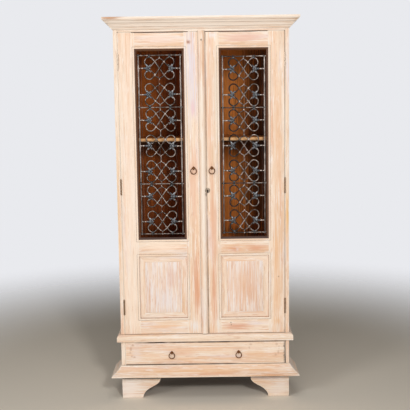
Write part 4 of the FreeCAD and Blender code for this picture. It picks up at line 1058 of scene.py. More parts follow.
class CaseTimbers:
    """Boards and mouldings of the case."""

    body = "carcass"

    def outside_of(self, hand: Hand) -> FacePick:
        """Limed on the outer face and the edges, stained on the inner face."""
        limed, stained = LIMED[Grain.UPRIGHT], STAINED[Grain.UPRIGHT]
        return lambda centre, normal: stained if normal.x * hand.value < -LOOKS else limed

    def back_wall(self, hand: Hand) -> FacePick:
        """Stained towards the room, the right wall painted lit and the left wall painted in shade, bare
        towards the corner.
        """
        bare, inside = BARE[Grain.UPRIGHT], STAINED_PAINTED_LIT if hand is Hand.RIGHT else STAINED_PAINTED_SHADE
        return lambda centre, normal: bare if normal.x * hand.value + normal.y > LOOKS else inside

    def face_frame(self, grain: Grain, centre: Vector, normal: Vector) -> Finish:
        """Limed in front, outside, left of the drawer and over the ends of the doors, stained elsewhere.

        Args:
            grain: Direction of the fibres.
            centre: Middle of the face.
            normal: Direction that it looks in.

        Returns:
            Its finish.
        """
        outside = grain is Grain.UPRIGHT and abs(normal.x) > LOOKS and normal.x * centre.x > 0
        wiped = grain is Grain.UPRIGHT and centre.x < 0 and centre.z < WAIST_FOOT
        wiped = wiped or grain is Grain.ACROSS and normal.z < -LOOKS and abs(centre.x) > OPENING_OUTER
        return LIMED[grain] if outside or wiped or normal.y < -LOOKS else STAINED[grain]

    def bracket(self, centre: Vector, normal: Vector) -> Finish:
        """Limed feet, stained behind, with the grain across in front and to the back at the side.

        Args:
            centre: Middle of the face.
            normal: Direction that it looks in.

        Returns:
            Its finish.
        """
        grain = Grain.ACROSS if centre.y < FOOT_BACK_Y else Grain.FORE_AND_AFT
        inward = normal.x * centre.x < 0 and abs(normal.x) > SQUARELY
        behind = normal.y > LOOKS or inward and grain is Grain.FORE_AND_AFT
        return STAINED[grain] if behind else LIMED[grain]

    def underside(self, finish: Finish) -> FacePick:
        """One finish all over, black underneath: painted shade."""
        return lambda centre, normal: BLACK_DUST_AND_SHADE if normal.z < -LOOKS else finish

    def top(self, centre: Vector, normal: Vector) -> Finish:
        """Bare dusty boards on top, stained below, limed at the front edge.

        Args:
            centre: Middle of the face.
            normal: Direction that it looks in.

        Returns:
            Its finish.
        """
        slanted = 0.3
        if normal.z > LOOKS or normal.y > slanted:
            return BARE[Grain.ACROSS]
        return STAINED[Grain.ACROSS] if normal.z < -LOOKS else LIMED[Grain.ACROSS]

    def waist(self, centre: Vector, normal: Vector) -> Finish:
        """Limed outside, stained as the floor of the cupboard and the roof of the drawer.

        Args:
            centre: Middle of the face.
            normal: Direction that it looks in.

        Returns:
            Its finish.
        """
        inside = centre.y > DOOR_BACK_Y and abs(centre.x) < HALF_INSIDE
        if normal.y > LOOKS:
            return BARE[Grain.ACROSS]
        return STAINED[Grain.ACROSS] if inside and abs(normal.z) > LOOKS else LIMED[Grain.ACROSS]

    def post(self, centre: Vector, normal: Vector) -> Finish:
        """Bare at the back, stained towards the room."""
        return STAINED[Grain.UPRIGHT] if normal.y < -LOOKS else BARE[Grain.UPRIGHT]

    def shelf(self, centre: Vector, normal: Vector) -> Finish:
        """Stained, with a waxed front edge."""
        return WAXED_EDGE if normal.y < -LOOKS else STAINED[Grain.ACROSS]

    def board(self, node: str, slot: Slot, pick: FacePick, run: Grain, **sizes: object) -> None:
        """Makes one timber of the case."""
        Timber(node, self.body, slot, pick, run, **sizes).build()

    def build(self) -> None:
        """Makes all timbers of the case."""
        limed, stained, bare = Slot.LIMED_WOOD, Slot.STAINED_PINE, Slot.PALE_PINE
        across, upright, aft = Grain.ACROSS, Grain.UPRIGHT, Grain.FORE_AND_AFT
        board = self.board
        rail = partial(self.face_frame, across)
        stile = partial(self.face_frame, upright)
        for hand in Hand:
            board(f"{hand.word}_side_panels", limed, self.outside_of(hand), upright)
            board(f"{hand.word}_back_boards", stained, self.back_wall(hand), upright, ease=0, step=300)
            board(f"{hand.word}_case_stiles", limed, stile, upright, ease=0.8)
            board(f"{hand.word}_foot_brackets", limed, self.bracket, across, ease=1.5)
        board("rear_post", stained, self.post, upright)
        board("frieze_rail", limed, rail, across)
        board("top_board", bare, self.top, across)
        inside_lines = ((aft, DOOR_BACK_Y), (across, -HALF_INSIDE), (across, HALF_INSIDE))
        board("waist_board", limed, self.waist, across, extra_cuts=inside_lines)
        board("base_rail", limed, rail, across)
        board("base_board", bare, self.underside(BARE[across]), across, wander=0)
        for moulding, pick in (("plinth", self.underside), ("cornice", all_over)):
            board(f"{moulding}_front_moulding", limed, pick(LIMED[across]), across, ease=0.6)
            board(f"{moulding}_returns", limed, pick(LIMED[aft]), aft, ease=0.6)
        for node in ("upper_shelf", "lower_shelf"):
            board(node, stained, self.shelf, across)
        board("shelf_cleats", stained, all_over(SMOKED[across]), across, wander=0)
        board("drawer_guides", bare, all_over(BARE[aft]), aft, wander=0, ease=0.6)


@dataclass
class DoorLeaf:
    """Frame and panel of one door.

    A face of the panel is a slope when its normal has more than the least lean.
    """

    hand: Hand
    least_lean: float = 0.06

    def frame_face(self, grain: Grain, centre: Vector, normal: Vector) -> Finish:
        """Limed in front, in the grooves, at the meeting line and on the hinge stile's head, else stained.

        The walls of the keyhole are black: painted shade.

        Args:
            grain: Direction of the fibres.
            centre: Middle of the face.
            normal: Direction that it looks in.

        Returns:
            Its finish.
        """
        meeting = abs(centre.x) < OPENING_INNER / 2 and abs(normal.x) > LOOKS
        front = normal.y < -LOOKS or centre.y < GROOVE_BACK_Y
        head = normal.z > LOOKS and abs(centre.x) > OPENING_OUTER
        if in_keyhole(centre, normal):
            return BLACK_DUST_AND_SHADE
        return LIMED[grain] if meeting or front or head else STAINED[grain]

    def panel_face(self, centre: Vector, normal: Vector) -> Finish:
        """Limed in front, each slope like the rail or stile beside it, stained at the back.

        Args:
            centre: Middle of the face.
            normal: Direction that it looks in.

        Returns:
            Its finish.
        """
        if normal.y > LOOKS:
            return STAINED[Grain.UPRIGHT]
        if abs(normal.z) > self.least_lean:
            return LIMED[Grain.ACROSS]
        return LIMED[Grain.UPRIGHT] if abs(normal.x) > self.least_lean else LIMED_PANEL

    def build(self) -> None:
        """Makes the stiles, the rails and the panel."""
        across, upright = Grain.ACROSS, Grain.UPRIGHT
        openings = ((upright, GRILLE_BOTTOM), (upright, GRILLE_TOP))
        stile = partial(self.frame_face, upright)
        rail = partial(self.frame_face, across)
        for part, pick, run, ease, cuts in (
            ("hinge_stile", stile, upright, 0.5, openings),
            ("meeting_stile", stile, upright, 0.5, openings),
            ("rails", rail, across, 0.5, ()),
            ("panel", self.panel_face, upright, 0.6, ()),
        ):
            node = f"{self.hand.door}_{part}"
            limed = Slot.LIMED_WOOD
            Timber(node, self.hand.door, limed, pick, run, ease, wander=0.5, extra_cuts=cuts).build()


@dataclass
class LimedLip:
    """Limed lip that nearly closes a gap, between two places across and two heights. Sizes in millimetres."""

    name: str
    body: str
    left: float
    right: float
    foot: float
    top: float
    front: float = 0.4
    depth: float = 4.0
    ease: float = 0.4

    def build(self) -> None:
        """Makes the lip."""
        middle = ((self.left + self.right) / 2, self.front + self.depth / 2, (self.top + self.foot) / 2)
        sizes = (self.right - self.left, self.depth, self.top - self.foot)
        lip = block(behind_face(middle), sizes)
        lip.name = self.name
        ease_edges(lip, self.ease)
        dress(lip, all_over(LIMED[Grain.UPRIGHT]))
        settle(lip, self.body, Slot.LIMED_WOOD)


# Foot and top of the lips over the door heads, and of those along the left leaf's hinge edge, which leave
# out the hinges.
DOOR_HEAD = (1876.5, 1880.5)
BETWEEN_HINGES = ((346.0, 448.0), (526.0, 1072.0), (1150.0, 1696.5), (1774.5, 1876.0))
LIPS = (
    LimedLip("meeting_lip", "right_door", -19.7, -18.0, 345.0, 1877.5),
    LimedLip("left_hinge_stile_lip", "left_door", -412.0, -346.0, *DOOR_HEAD),
    LimedLip("left_meeting_stile_lip", "left_door", -66.0, -21.0, *DOOR_HEAD),
    LimedLip("right_hinge_stile_lip", "right_door", 330.0, 412.0, *DOOR_HEAD),
    LimedLip("drawer_end_lip", "drawer", -415.6, -412.5, 182.0, 302.0),
    *(
        LimedLip(f"left_hinge_edge_lip_{index}", "left_door", -415.6, -413.0, *span)
        for index, span in enumerate(BETWEEN_HINGES)
    ),
)


@dataclass
class Drawer:
    """Front and box of the drawer."""

    body: str = "drawer"

    def front_face(self, centre: Vector, normal: Vector) -> Finish:
        """Limed in front and at the left end, stained round the other edges, bare at the back.

        Args:
            centre: Middle of the face.
            normal: Direction that it looks in.

        Returns:
            Its finish.
        """
        if normal.y > LOOKS:
            return BARE[Grain.ACROSS]
        return LIMED[Grain.ACROSS] if normal.y < -LOOKS or normal.x < -LOOKS else STAINED[Grain.ACROSS]

    def build(self) -> None:
        """Makes the front, the walls and the bottom."""
        across, aft = Grain.ACROSS, Grain.FORE_AND_AFT
        Timber("drawer_front", self.body, Slot.LIMED_WOOD, self.front_face, across, ease=1.5).build()
        for part, run, ease in (("sides", aft, 0.6), ("back", across, 0.6), ("bottom", across, 0)):
            bare = all_over(BARE[run])
            Timber(f"drawer_{part}", self.body, Slot.PALE_PINE, bare, run, ease, wander=0).build()


@dataclass
class SightBead:
    """Stained bead that slopes back from the frame round the grille of one door. Sizes in millimetres."""

    hand: Hand
    width: float = 11.0
    front: float = 2.5
    fall: float = 8.5
    thickness: float = 1.6
    ease: float = 0.5
    least_lean: float = 0.3

    def side(self, centre: Vector, normal: Vector) -> Finish:
        """Smoked, with the grain along each side, black with dust at the foot.

        Args:
            centre: Middle of the face.
            normal: Direction that it looks in.

        Returns:
            Its finish.
        """
        if normal.z > self.least_lean:
            return BLACK_DUST_AND_SHADE
        return SMOKED[Grain.ACROSS if normal.z < -self.least_lean else Grain.UPRIGHT]

    def build(self) -> None:
        """Makes the mitred bead."""
        wide = OPENING_OUTER - OPENING_INNER
        high = GRILLE_TOP - GRILLE_BOTTOM
        middle = self.hand.value * (OPENING_OUTER + OPENING_INNER) / 2
        centre = (middle, FACE_Y + self.front * MM, (GRILLE_TOP + GRILLE_BOTTOM) / 2)
        bpy.ops.mesh.primitive_plane_add(size=1, location=centre, rotation=(math.pi / 2, 0, 0))
        bead = bpy.context.object
        bead.name = f"{self.hand.door}_sight_bead"
        bead.scale = (wide, high, 1)
        freeze(bead)
        with editing(bead):
            bpy.ops.mesh.inset(thickness=self.width * MM, depth=-self.fall * MM)
            bpy.ops.mesh.delete(type="FACE")
        board = bead.modifiers.new("board", "SOLIDIFY")
        board.thickness = self.thickness * MM
        board.offset = -1.0
        apply_modifiers(bead)
        ease_edges(bead, self.ease)
        dress(bead, self.side)
        settle(bead, self.hand.door, Slot.STAINED_PINE)


@dataclass
class ScrollMotif:
    """One motif of a grille: two S-scrolls, pointed arcs, leaf clasps and stems. Sizes in millimetres.

    It is modelled about its own middle, across, back and up. One shaded on the left has painted shade on its
    left loops.
    """

    side_reach: float
    scaled: bool
    rod: float = 3.4
    vein: float = 2.7
    stem: float = 3.2
    loop_radius: float = 22.0
    loop_out: float = 51.0
    loop_up: float = 32.0
    clasp_out: float = 60.0
    knot_out: float = 24.0
    knot_up: float = 31.0
    apex_up: float = 56.0
    crossing_bow: float = 2.8

    def forged_rod(self, points: list[Point], radius: float, tip: float = 1.0) -> Object:
        """A round rod bent through points.

        Args:
            points: Where it goes, in millimetres.
            radius: Radius of the rod, in millimetres.
            tip: Share of the radius that is left at the last point.

        Returns:
            The rod as a mesh.
        """
        bpy.ops.curve.primitive_bezier_curve_add(location=(0, 0, 0))
        rod = bpy.context.object
        knots = rod.data.splines[0].bezier_points
        knots.add(len(points) - 2)
        for knot, point in zip(knots, points):
            knot.co = Vector(point) * MM
            knot.handle_left_type = "AUTO"
            knot.handle_right_type = "AUTO"
        knots[-1].radius = tip
        rod.data.resolution_u = 6
        rod.data.bevel_depth = radius * MM
        rod.data.bevel_resolution = 2
        rod.data.use_fill_caps = True
        alone(rod)
        bpy.ops.object.convert(target="MESH")
        return rod

    def ball(self, place: Point, size: Point) -> Object:
        """A small forged swelling.

        Args:
            place: Its middle, in millimetres.
            size: Half sizes along the axes, in millimetres.

        Returns:
            The swelling.
        """
        middle = Vector(place) * MM
        bpy.ops.mesh.primitive_uv_sphere_add(segments=12, ring_count=8, radius=MM, location=middle)
        ball = bpy.context.object
        ball.scale = size
        freeze(ball)
        return ball

    def scroll(self, lean: int) -> Object:
        """One S-scroll: up round a loop, straight through the middle and round the opposite loop.

        Args:
            lean: 1 for the scroll that starts at the left clasp and rises, -1 for the one that falls.

        Returns:
            The rod.
        """
        spread = math.hypot(self.loop_out, self.loop_up)
        steep = math.atan2(self.loop_up, self.loop_out) + math.asin(self.loop_radius / spread)
        first = math.pi / 2 - steep
        last = math.atan2(-self.loop_up, -(self.clasp_out - self.loop_out)) + 2 * math.pi
        half = [(0.0, self.crossing_bow * lean, 0.0)]
        turns = 7
        for index in range(turns + 1):
            angle = first + (last - first) * index / turns
            x = -self.loop_out + self.loop_radius * math.cos(angle)
            z = self.loop_up + self.loop_radius * math.sin(angle)
            half.append((x, 0.0, z))
        half.append((-self.clasp_out, 0.0, 3.0))
        other = [(-x, y, -z) for x, y, z in half[1:]]
        path = list(reversed(half)) + other
        return self.forged_rod([(x, y, z * lean) for x, y, z in path], self.rod)

    def corner(self, x_hand: int, z_hand: int) -> list[Object]:
        """Vein from a clasp to its knot, the knot, and the arc from there to the apex.

        Args:
            x_hand: -1 on the left, 1 on the right.
            z_hand: -1 below, 1 above.

        Returns:
            The three parts.
        """
        vein = [(43.0, -0.5, 10.0), (34.0, -1.0, 20.5), (self.knot_out, -0.5, self.knot_up)]
        arc = [vein[-1], (17.0, -0.5, 39.0), (8.0, -0.5, 45.0), (2.2, 0.0, 49.2), (0.0, 0.0, self.apex_up)]
        vein, arc = ([(x * x_hand, y, z * z_hand) for x, y, z in path] for path in (vein, arc))
        return [
            self.forged_rod(vein, self.vein),
            self.forged_rod(arc, self.vein, tip=0.4),
            self.ball(arc[0], (4.6, 4.6, 5.2)),
        ]

    def stem_parts(self, x_hand: int) -> list[Object]:
        """Stem from a clasp to the side bar, with a swelling in its middle and a foot at the bar.

        Args:
            x_hand: -1 on the left, 1 on the right.

        Returns:
            The three parts.
        """
        start = self.clasp_out * x_hand
        end = self.side_reach * x_hand
        path = [(start, 0.0, 0.0), (0.5 * (start + end), 0.0, 0.0), (end, 0.0, 0.0)]
        return [
            self.forged_rod(path, self.stem),
            self.ball((0.5 * (start + end) + 4.0 * x_hand, 0.0, 0.0), (4.5, 4.0, 4.0)),
            self.ball((end - 5.0 * x_hand, 0.0, 0.0), (2.6, 4.0, 4.2)),
        ]

    def leaf(self, lean: float, length: float, width: float) -> Object:
        """A pointed cast leaf that starts at the middle of a clasp.

        Args:
            lean: Angle between the leaf and the level, in degrees; at 0 it points to the left.
            length: Length of the leaf.
            width: Half width at its root.

        Returns:
            The leaf.
        """
        bpy.ops.mesh.primitive_cone_add(
            vertices=12, radius1=width * MM, radius2=2.2 * MM, depth=length * MM,
            location=(0, 0, length / 2 * MM),
        )
        leaf = bpy.context.object
        freeze(leaf)
        leaf.scale = (1, 0.6, 1)
        leaf.rotation_euler = (0, math.radians(lean - 90), 0)
        freeze(leaf)
        return leaf

    def clasp(self) -> Object:
        """A cast clasp of five leaves and a boss, for the right-hand side.

        Returns:
            The clasp at the middle of the frame.
        """
        heart = self.ball((1.0, -1.0, 0.0), (10.0, 6.5, 11.0))
        boss = self.ball((-3.0, -4.5, 0.0), (4.2, 4.2, 4.2))
        collar = self.ball((15.0, 0.0, 0.0), (6.5, 5.4, 6.0))
        lobes = [heart, boss, collar, self.leaf(0, 17, 7.5)]
        for side in (-1, 1):
            lobes.append(self.leaf(48 * side, 26, 9.0))
            lobes.append(self.leaf(100 * side, 22, 9.0))
        clasp = join("clasp", lobes)
        remesh = clasp.modifiers.new("one casting", "REMESH")
        remesh.mode = "VOXEL"
        remesh.voxel_size = 1.0 * MM
        soften = clasp.modifiers.new("soft casting", "SMOOTH")
        soften.iterations = 2
        thin = clasp.modifiers.new("fewer faces", "DECIMATE")
        thin.ratio = 0.3
        apply_modifiers(clasp)
        return clasp

    def forged_face(self, centre: Vector, normal: Vector) -> Finish:
        """Rubbed iron, or iron in painted shade on the left loops."""
        on_stem = centre.x <= -self.clasp_out * MM and abs(centre.z) <= 2 * self.stem * MM
        return SHADED_IRON if self.scaled and centre.x < -self.knot_out * MM and not on_stem else IRON

    def build(self) -> Object:
        """Makes the whole motif.

        Returns:
            The motif about its own middle.
        """
        parts = [self.scroll(1), self.scroll(-1)]
        for x_hand in (-1, 1):
            parts.extend(self.stem_parts(x_hand))
            for z_hand in (-1, 1):
                parts.extend(self.corner(x_hand, z_hand))
        forged = join("forged", parts)
        hand_work(forged, depth=0.5, size=7)
        dress(forged, self.forged_face, METAL_ARRIS)
        cast = self.clasp()
        opposite = copied(cast)
        opposite.rotation_euler = (0, math.pi, 0)
        forward = -2.0
        cast.location = Vector((self.clasp_out, forward, 0)) * MM
        opposite.location = Vector((-self.clasp_out, forward, 0)) * MM
        freeze(cast)
        freeze(opposite)
        pair = join("clasps", [cast, opposite])
        dress(pair, all_over(CAST), METAL_ARRIS)
        return join("motif", [forged, pair])


@dataclass
class IronGrille:
    """Iron grille of one door: square bars round a column of scroll motifs. Sizes in millimetres.

    Foot and head are the heights of its end bars; boundaries between motifs are counted from the foot. A
    grille shaded on the left has painted shade on its left loops and on the left half of its cross bars.
    """

    hand: Hand
    foot: float
    head: float
    scaled: bool
    middle: float = 209.5
    depth: float = 9.5
    cross_depth: float = 16.5
    side_reach: float = 104.5
    count: int = 7
    bar: float = 7.2
    cross_bar: float = 5.6
    cross_bars: tuple[int, ...] = (0, 2, 5, 7)
    linked: tuple[int, ...] = (3, 4)
    link: float = 2.0
    let_in: float = 9.5
    slack: float = 0.4
    ease: float = 1.6
    step: float = 30.0
    seed: int = 11

    @property
    def pitch(self) -> float:
        """Distance between motifs."""
        return (self.head - self.foot) / self.count

    def boundary(self, index: float) -> float:
        """Height of a boundary between motifs."""
        return self.foot + index * self.pitch

    def square_bar(self, centre: Point, side: float, length: float, run: Grain) -> Object:
        """A square bar with eased edges.

        Args:
            centre: Middle of the bar, across, back from the face and up.
            side: Side of its square section.
            length: Length of the bar.
            run: Axis along which it runs.

        Returns:
            The bar in its place.
        """
        sizes = [side] * 3
        sizes[run.value] = length
        bar = block(behind_face(centre), sizes)
        start = (centre[run.value] - length / 2) * MM
        count = round(length / self.step)
        cut_at(bar, run, [start + length * MM * index / count for index in range(1, count)])
        ease_edges(bar, self.ease)
        return bar

    def ring(self, place: Point, size: Point, turn: float) -> Object:
        """A turn of wire tied round a bar.

        Args:
            place: Middle of the turn, across, back from the face and up.
            size: Radius of the wire, then half depth and half height of the turn.
            turn: Angle of the turn in the plane of the grille, in degrees; at 0 it goes round a level bar.

        Returns:
            The turn of wire.
        """
        wire, half_depth, half_height = size
        bpy.ops.mesh.primitive_torus_add(
            major_segments=16, minor_segments=6, major_radius=half_height * MM, minor_radius=wire * MM,
            location=(0, 0, 0), rotation=(0, math.pi / 2, 0),
        )
        ring = bpy.context.object
        freeze(ring)
        ring.scale = (1, half_depth / half_height, 1)
        freeze(ring)
        ring.rotation_euler = (0, math.radians(turn), 0)
        ring.location = behind_face(place)
        freeze(ring)
        return ring

    def ties(self, motif: ScrollMotif, index: int) -> list[Object]:
        """Ties of one cross bar: knobs and wire between a loop and the bar, crossed wires at the side bars.

        Args:
            motif: Motif that gives the place of the loops.
            index: Boundary that the cross bar lies on.

        Returns:
            The ties.
        """
        z = self.boundary(index)
        between = (self.depth + self.cross_depth) / 2
        ties = []
        for x_hand in (-1, 1):
            x = self.middle * self.hand.value + motif.loop_out * x_hand
            for side in (-1, 1):
                if 0 <= index + (side - 1) // 2 < self.count:
                    knob = motif.ball((x, self.depth - 1.0, z + 7.5 * side), (7.0, 6.0, 5.6))
                    knob.location.y = FACE_Y
                    freeze(knob)
                    ties.append(knob)
            for turn in (-1, 1):
                ties.append(self.ring((x + 3.0 * turn, between, z), (1.7, 8.6, 6.4), 10.0 * turn))
            side_x = self.middle * self.hand.value + self.side_reach * x_hand
            for lean in (-45, 45):
                ties.append(self.ring((side_x, between, z), (1.7, 8.0, 6.0), lean))
        return ties

    def links(self, motif: ScrollMotif) -> list[Object]:
        """Short rods that join apex to apex in the middle of the column, and apex to cross bar.

        Args:
            motif: Motif that gives the height of the apexes.

        Returns:
            The rods.
        """
        x = self.middle * self.hand.value
        overlap = 3.0
        bow = 4.0
        gap = self.pitch / 2 - motif.apex_up + overlap
        rods = []
        for index in self.linked + self.cross_bars:
            low = gap if index > 0 else 0.0
            high = gap if index < self.count else 0.0
            z = self.boundary(index)
            bowed = self.depth + (bow if index in self.cross_bars else 0.0)
            path = [(x, self.depth, z - low), (x, bowed, z), (x, self.depth, z + high)]
            rod = motif.forged_rod(path, self.link)
            rod.location.y = FACE_Y
            freeze(rod)
            rods.append(rod)
        return rods

    def bar_face(self, centre: Vector, normal: Vector) -> Finish:
        """Side bars rubbed above and dull below, cross bars behind them, in painted shade on the left where
        so shaded.

        Args:
            centre: Middle of the face.
            normal: Direction that it looks in.

        Returns:
            Its finish.
        """
        side_bar_back = self.depth + self.bar / 2 + self.slack
        if centre.y < FACE_Y + side_bar_back * MM:
            return DRAWN_IRON if centre.z > self.boundary(self.cross_bars[1]) * MM else DULL_IRON
        return SHADED_IRON if self.scaled and centre.x < self.middle * self.hand.value * MM else IRON

    def frame_of_bars(self, motif: ScrollMotif) -> None:
        """Makes the side bars and the cross bars with their ties.

        Args:
            motif: Motif that gives the places of the ties.
        """
        middle = self.middle * self.hand.value
        bars = []
        for x_hand in (-1, 1):
            centre = (middle + self.side_reach * x_hand, self.depth, (self.foot + self.head) / 2)
            bars.append(self.square_bar(centre, self.bar, self.head - self.foot + self.bar, Grain.UPRIGHT))
        across = (OPENING_OUTER - OPENING_INNER) / MM + 2 * self.let_in
        for index in self.cross_bars:
            centre = (middle, self.cross_depth, self.boundary(index))
            bars.append(self.square_bar(centre, self.cross_bar, across, Grain.ACROSS))
        iron = join("bars", bars)
        hand_work(iron, depth=0.5, size=9)
        dress(iron, self.bar_face, angle=45)
        tied = join("ties", [tie for index in self.cross_bars for tie in self.ties(motif, index)])
        dress(tied, all_over(CAST), METAL_ARRIS)
        whole = join(f"{self.hand.word}_grille_frame", [iron, tied])
        settle(whole, self.hand.door, Slot.WROUGHT_IRON, f"{self.hand.door}_grille_bars")

    def column(self, motif: ScrollMotif) -> None:
        """Makes the column of motifs, each set a little out of true as a smith would.

        Args:
            motif: Motif that is repeated.
        """
        model = motif.build()
        chance = random.Random(self.seed + self.hand.value)
        pieces = []
        for index in range(self.count):
            piece = copied(model)
            place = Vector((self.middle * self.hand.value, self.depth, self.boundary(index + 0.5)))
            place += Vector((chance.uniform(-0.8, 0.8), 0, chance.uniform(-0.6, 0.6)))
            piece.location = behind_face(place)
            piece.rotation_euler = (0, math.radians(chance.uniform(-1.0, 1.0)), 0)
            freeze(piece)
            pieces.append(piece)
        bpy.data.objects.remove(model)
        rods = join("links", self.links(motif))
        dress(rods, all_over(IRON), METAL_ARRIS)
        scrolls = join(f"{self.hand.word}_grille_scrolls", pieces + [rods])
        settle(scrolls, self.hand.door, Slot.WROUGHT_IRON, f"{self.hand.door}_grille_scrolls")

    def build(self) -> None:
        """Makes the bars with their ties, and the column of motifs."""
        motif = ScrollMotif(self.side_reach, self.scaled)
        self.frame_of_bars(motif)
        self.column(motif)


@dataclass
class RingPulls:
    """Studs and rings of the doors and the drawer. Sizes in millimetres."""

    ring_radius: float = 14.7
    wire: float = 2.3

    def ring(self, node: str, body: str) -> None:
        """Makes one ring where its CAD ring hangs.

        Args:
            node: CAD node of the ring.
            body: CAD body of the ring.
        """
        low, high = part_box(node)
        bpy.ops.mesh.primitive_torus_add(
            major_segments=56, minor_segments=14, major_radius=self.ring_radius * MM,
            minor_radius=self.wire * MM, location=(low + high) / 2, rotation=(math.pi / 2, 0, 0),
        )
        ring = bpy.context.object
        freeze(ring)
        hand_work(ring, depth=0.3, size=6)
        dress(ring, all_over(BRONZE), METAL_ARRIS)
        ring.name = f"bronze_{node}"
        settle(ring, body, Slot.AGED_BRONZE, node)

    def build(self) -> None:
        """Makes the four pulls."""
        for hand in Hand:
            self.ring(f"{hand.door}_pull_ring", f"{hand.door}_ring")
            self.ring(f"{hand.word}_drawer_pull_ring", f"{hand.word}_drawer_ring")
            self.studs(f"{hand.door}_pull_stud", hand.door)
        self.studs("drawer_pull_studs", "drawer")

    def studs(self, node: str, body: str) -> None:
        """Makes the studs of one CAD node on the body that carries them."""
        Fitting(node, body, Slot.AGED_BRONZE, BRONZE, ease=0.5, word="bronze").build()


@dataclass
class Fitting:
    """A small metal fitting: a copy of its CAD node, with black painted shade in the keyhole and on a hidden
    front.

    The word starts its name, and the ease is the width of its rounded edges in millimetres.
    """

    node: str
    body: str
    slot: Slot
    finish: Finish
    ease: float = 0.4
    hidden_front: bool = False
    word: str = "fitted"

    def face(self, centre: Vector, normal: Vector) -> Finish:
        """Black painted shade in the keyhole and on a hidden front, the finish elsewhere."""
        hidden = self.hidden_front and normal.y < -LOOKS
        return BLACK_DUST_AND_SHADE if hidden or in_keyhole(centre, normal) else self.finish

    def build(self) -> None:
        """Makes the fitting."""
        piece = copy_of(self.node, f"{self.word}_{self.node}")
        ease_edges(piece, self.ease)
        dress(piece, self.face, angle=40)
        settle(piece, self.body, self.slot, self.node)


class Ironmongery:
    """Hinges, lock and inside bolt."""

    def build(self) -> None:
        """Makes all fittings."""
        bronze, steel = Slot.AGED_BRONZE, Slot.LOCK_STEEL
        for node, body in (
            ("hinge_case_leaves", "carcass"), ("hinge_pins", "carcass"), ("hinge_case_screws", "carcass"),
            ("left_door_hinge_leaves", "left_door"), ("left_door_hinge_screws", "left_door"),
            ("right_door_hinge_leaves", "right_door"), ("right_door_hinge_screws", "right_door"),
        ):
            Fitting(node, body, bronze, HINGE_BRASS, 0.3).build()
        Fitting("keyhole_escutcheon", "right_door", bronze, PLATE, 1.2).build()
        Fitting("lock_case", "right_door", steel, STEEL, hidden_front=True).build()
        for node, body in (
            ("lock_bolt", "lock_bolt"), ("lock_keeper", "left_door"),
            ("left_door_bolt_plate", "left_door"), ("left_door_bolt_rod", "left_door_bolt"),
        ):
            Fitting(node, body, steel, STEEL).build()


@dataclass(frozen=True)
class Lamp:
    """A square soft lamp: its place, the point it faces and its side, in metres, and its power in watts."""

    name: str
    place: tuple[float, float, float]
    target: tuple[float, float, float]
    side: float
    power: float

    def hang(self) -> None:
        """Hangs the lamp."""
        bpy.ops.object.light_add(type="AREA", location=self.place)
        lamp = bpy.context.object
        lamp.name = self.name
        lamp.data.size = self.side
        lamp.data.energy = self.power
        lamp.rotation_euler = (Vector(self.target) - Vector(self.place)).to_track_quat("-Z", "Y").to_euler()


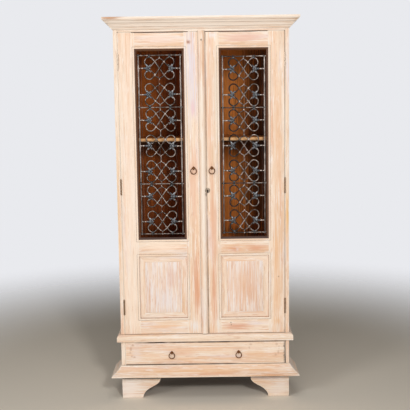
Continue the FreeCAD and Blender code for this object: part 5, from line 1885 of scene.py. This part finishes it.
@dataclass
class Studio:
    """Floor, light and camera. Places in metres, angles in degrees, the lens in millimetres."""

    lamps: tuple[Lamp, ...] = (
        Lamp("key", (1.1, -4.6, 2.7), (0, 0, 1.0), 0.5, 70),
        Lamp("fill", (-3.2, -3.6, 2.4), (0, 0, 1.1), 1.4, 60),
        Lamp("bounce", (0.4, -4.2, 0.35), (0, 0, 1.75), 1.6, 44),
        Lamp("overhead", (0, -2.4, 4.2), (0, -1.4, 0), 2.0, 30),
    )
    soft_light: float = 0.11
    soft_colour: tuple[float, float, float, float] = (1, 0.99, 0.975, 1)
    lens: float = 66.2
    pitch: float = 7.03
    roll: float = -0.77
    place: tuple[float, float, float] = (0.0088, -4.074, 1.484)
    backdrop: str = "#E9EAEE"

    def floor(self) -> None:
        """Lays a pale floor that fades out all round."""
        bpy.ops.mesh.primitive_circle_add(vertices=96, radius=4.0, fill_type="NGON", location=(0, 0, 0))
        floor = bpy.context.object
        floor.name = "studio_floor"
        floor.data.materials.append(PaleFloor().material())
        floor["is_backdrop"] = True

    def world(self) -> None:
        """Soft light from all round, and the backdrop where the camera, gloss or glass looks at it."""
        world = bpy.data.worlds.new("studio")
        bpy.context.scene.world = world
        world.use_nodes = True
        tree = world.node_tree
        tree.nodes.remove(tree.nodes["Background"])
        soft = add_node(tree, "Background", (self.soft_colour, self.soft_light))
        seen = add_node(tree, "Background", (linear(self.backdrop), 1.0))
        rays = add_node(tree, "LightPath").node.outputs
        looked = rays["Is Camera Ray"]
        for ray in ("Is Glossy Ray", "Is Transmission Ray"):
            looked = add_node(tree, "Math", (looked, rays[ray]), operation="MAXIMUM")
        mixed = add_node(tree, "MixShader", (looked, soft, seen))
        tree.links.new(mixed, tree.nodes["World Output"].inputs["Surface"])

    def camera(self) -> None:
        """Stands the camera where the photograph was taken from."""
        bpy.ops.object.camera_add(location=self.place)
        camera = bpy.context.object
        camera.data.lens = self.lens
        camera.data.sensor_width = 36.0
        tilt = Matrix.Rotation(math.radians(90 - self.pitch), 4, "X")
        turn = Matrix.Rotation(math.radians(self.roll), 4, "Z")
        camera.rotation_euler = (tilt @ turn).to_euler()
        bpy.context.scene.camera = camera

    def build(self) -> None:
        """Sets up the studio."""
        bpy.context.scene.view_settings.view_transform = "Standard"
        self.floor()
        self.world()
        for lamp in self.lamps:
            lamp.hang()
        self.camera()


def write_sizes() -> None:
    """Works out the CAD box and the box of the dressed cabinet; nothing is written."""
    boxes = {"cad": CAD_BOX, "visual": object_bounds()}
    {name: [list(corner) for corner in box] for name, box in boxes.items()}


def main() -> None:
    """Builds the cabinet and the studio."""
    logging.basicConfig(level=logging.INFO, format="%(name)s: %(message)s")
    CaseTimbers().build()
    for hand in Hand:
        DoorLeaf(hand).build()
        SightBead(hand).build()
    IronGrille(Hand.LEFT, foot=867.5, head=1767.5, scaled=False).build()
    # The right grille is painted in shade on its left.
    IronGrille(Hand.RIGHT, foot=869.5, head=1757.5, scaled=True).build()
    limed = all_over(LIMED[Grain.UPRIGHT])
    Timber("astragal", "right_door", Slot.LIMED_WOOD, limed, Grain.UPRIGHT, ease=0).build()
    for lip in LIPS:
        lip.build()
    Drawer().build()
    RingPulls().build()
    Ironmongery().build()
    Studio().build()
    write_sizes()


if __name__ == "__main__":
    main()
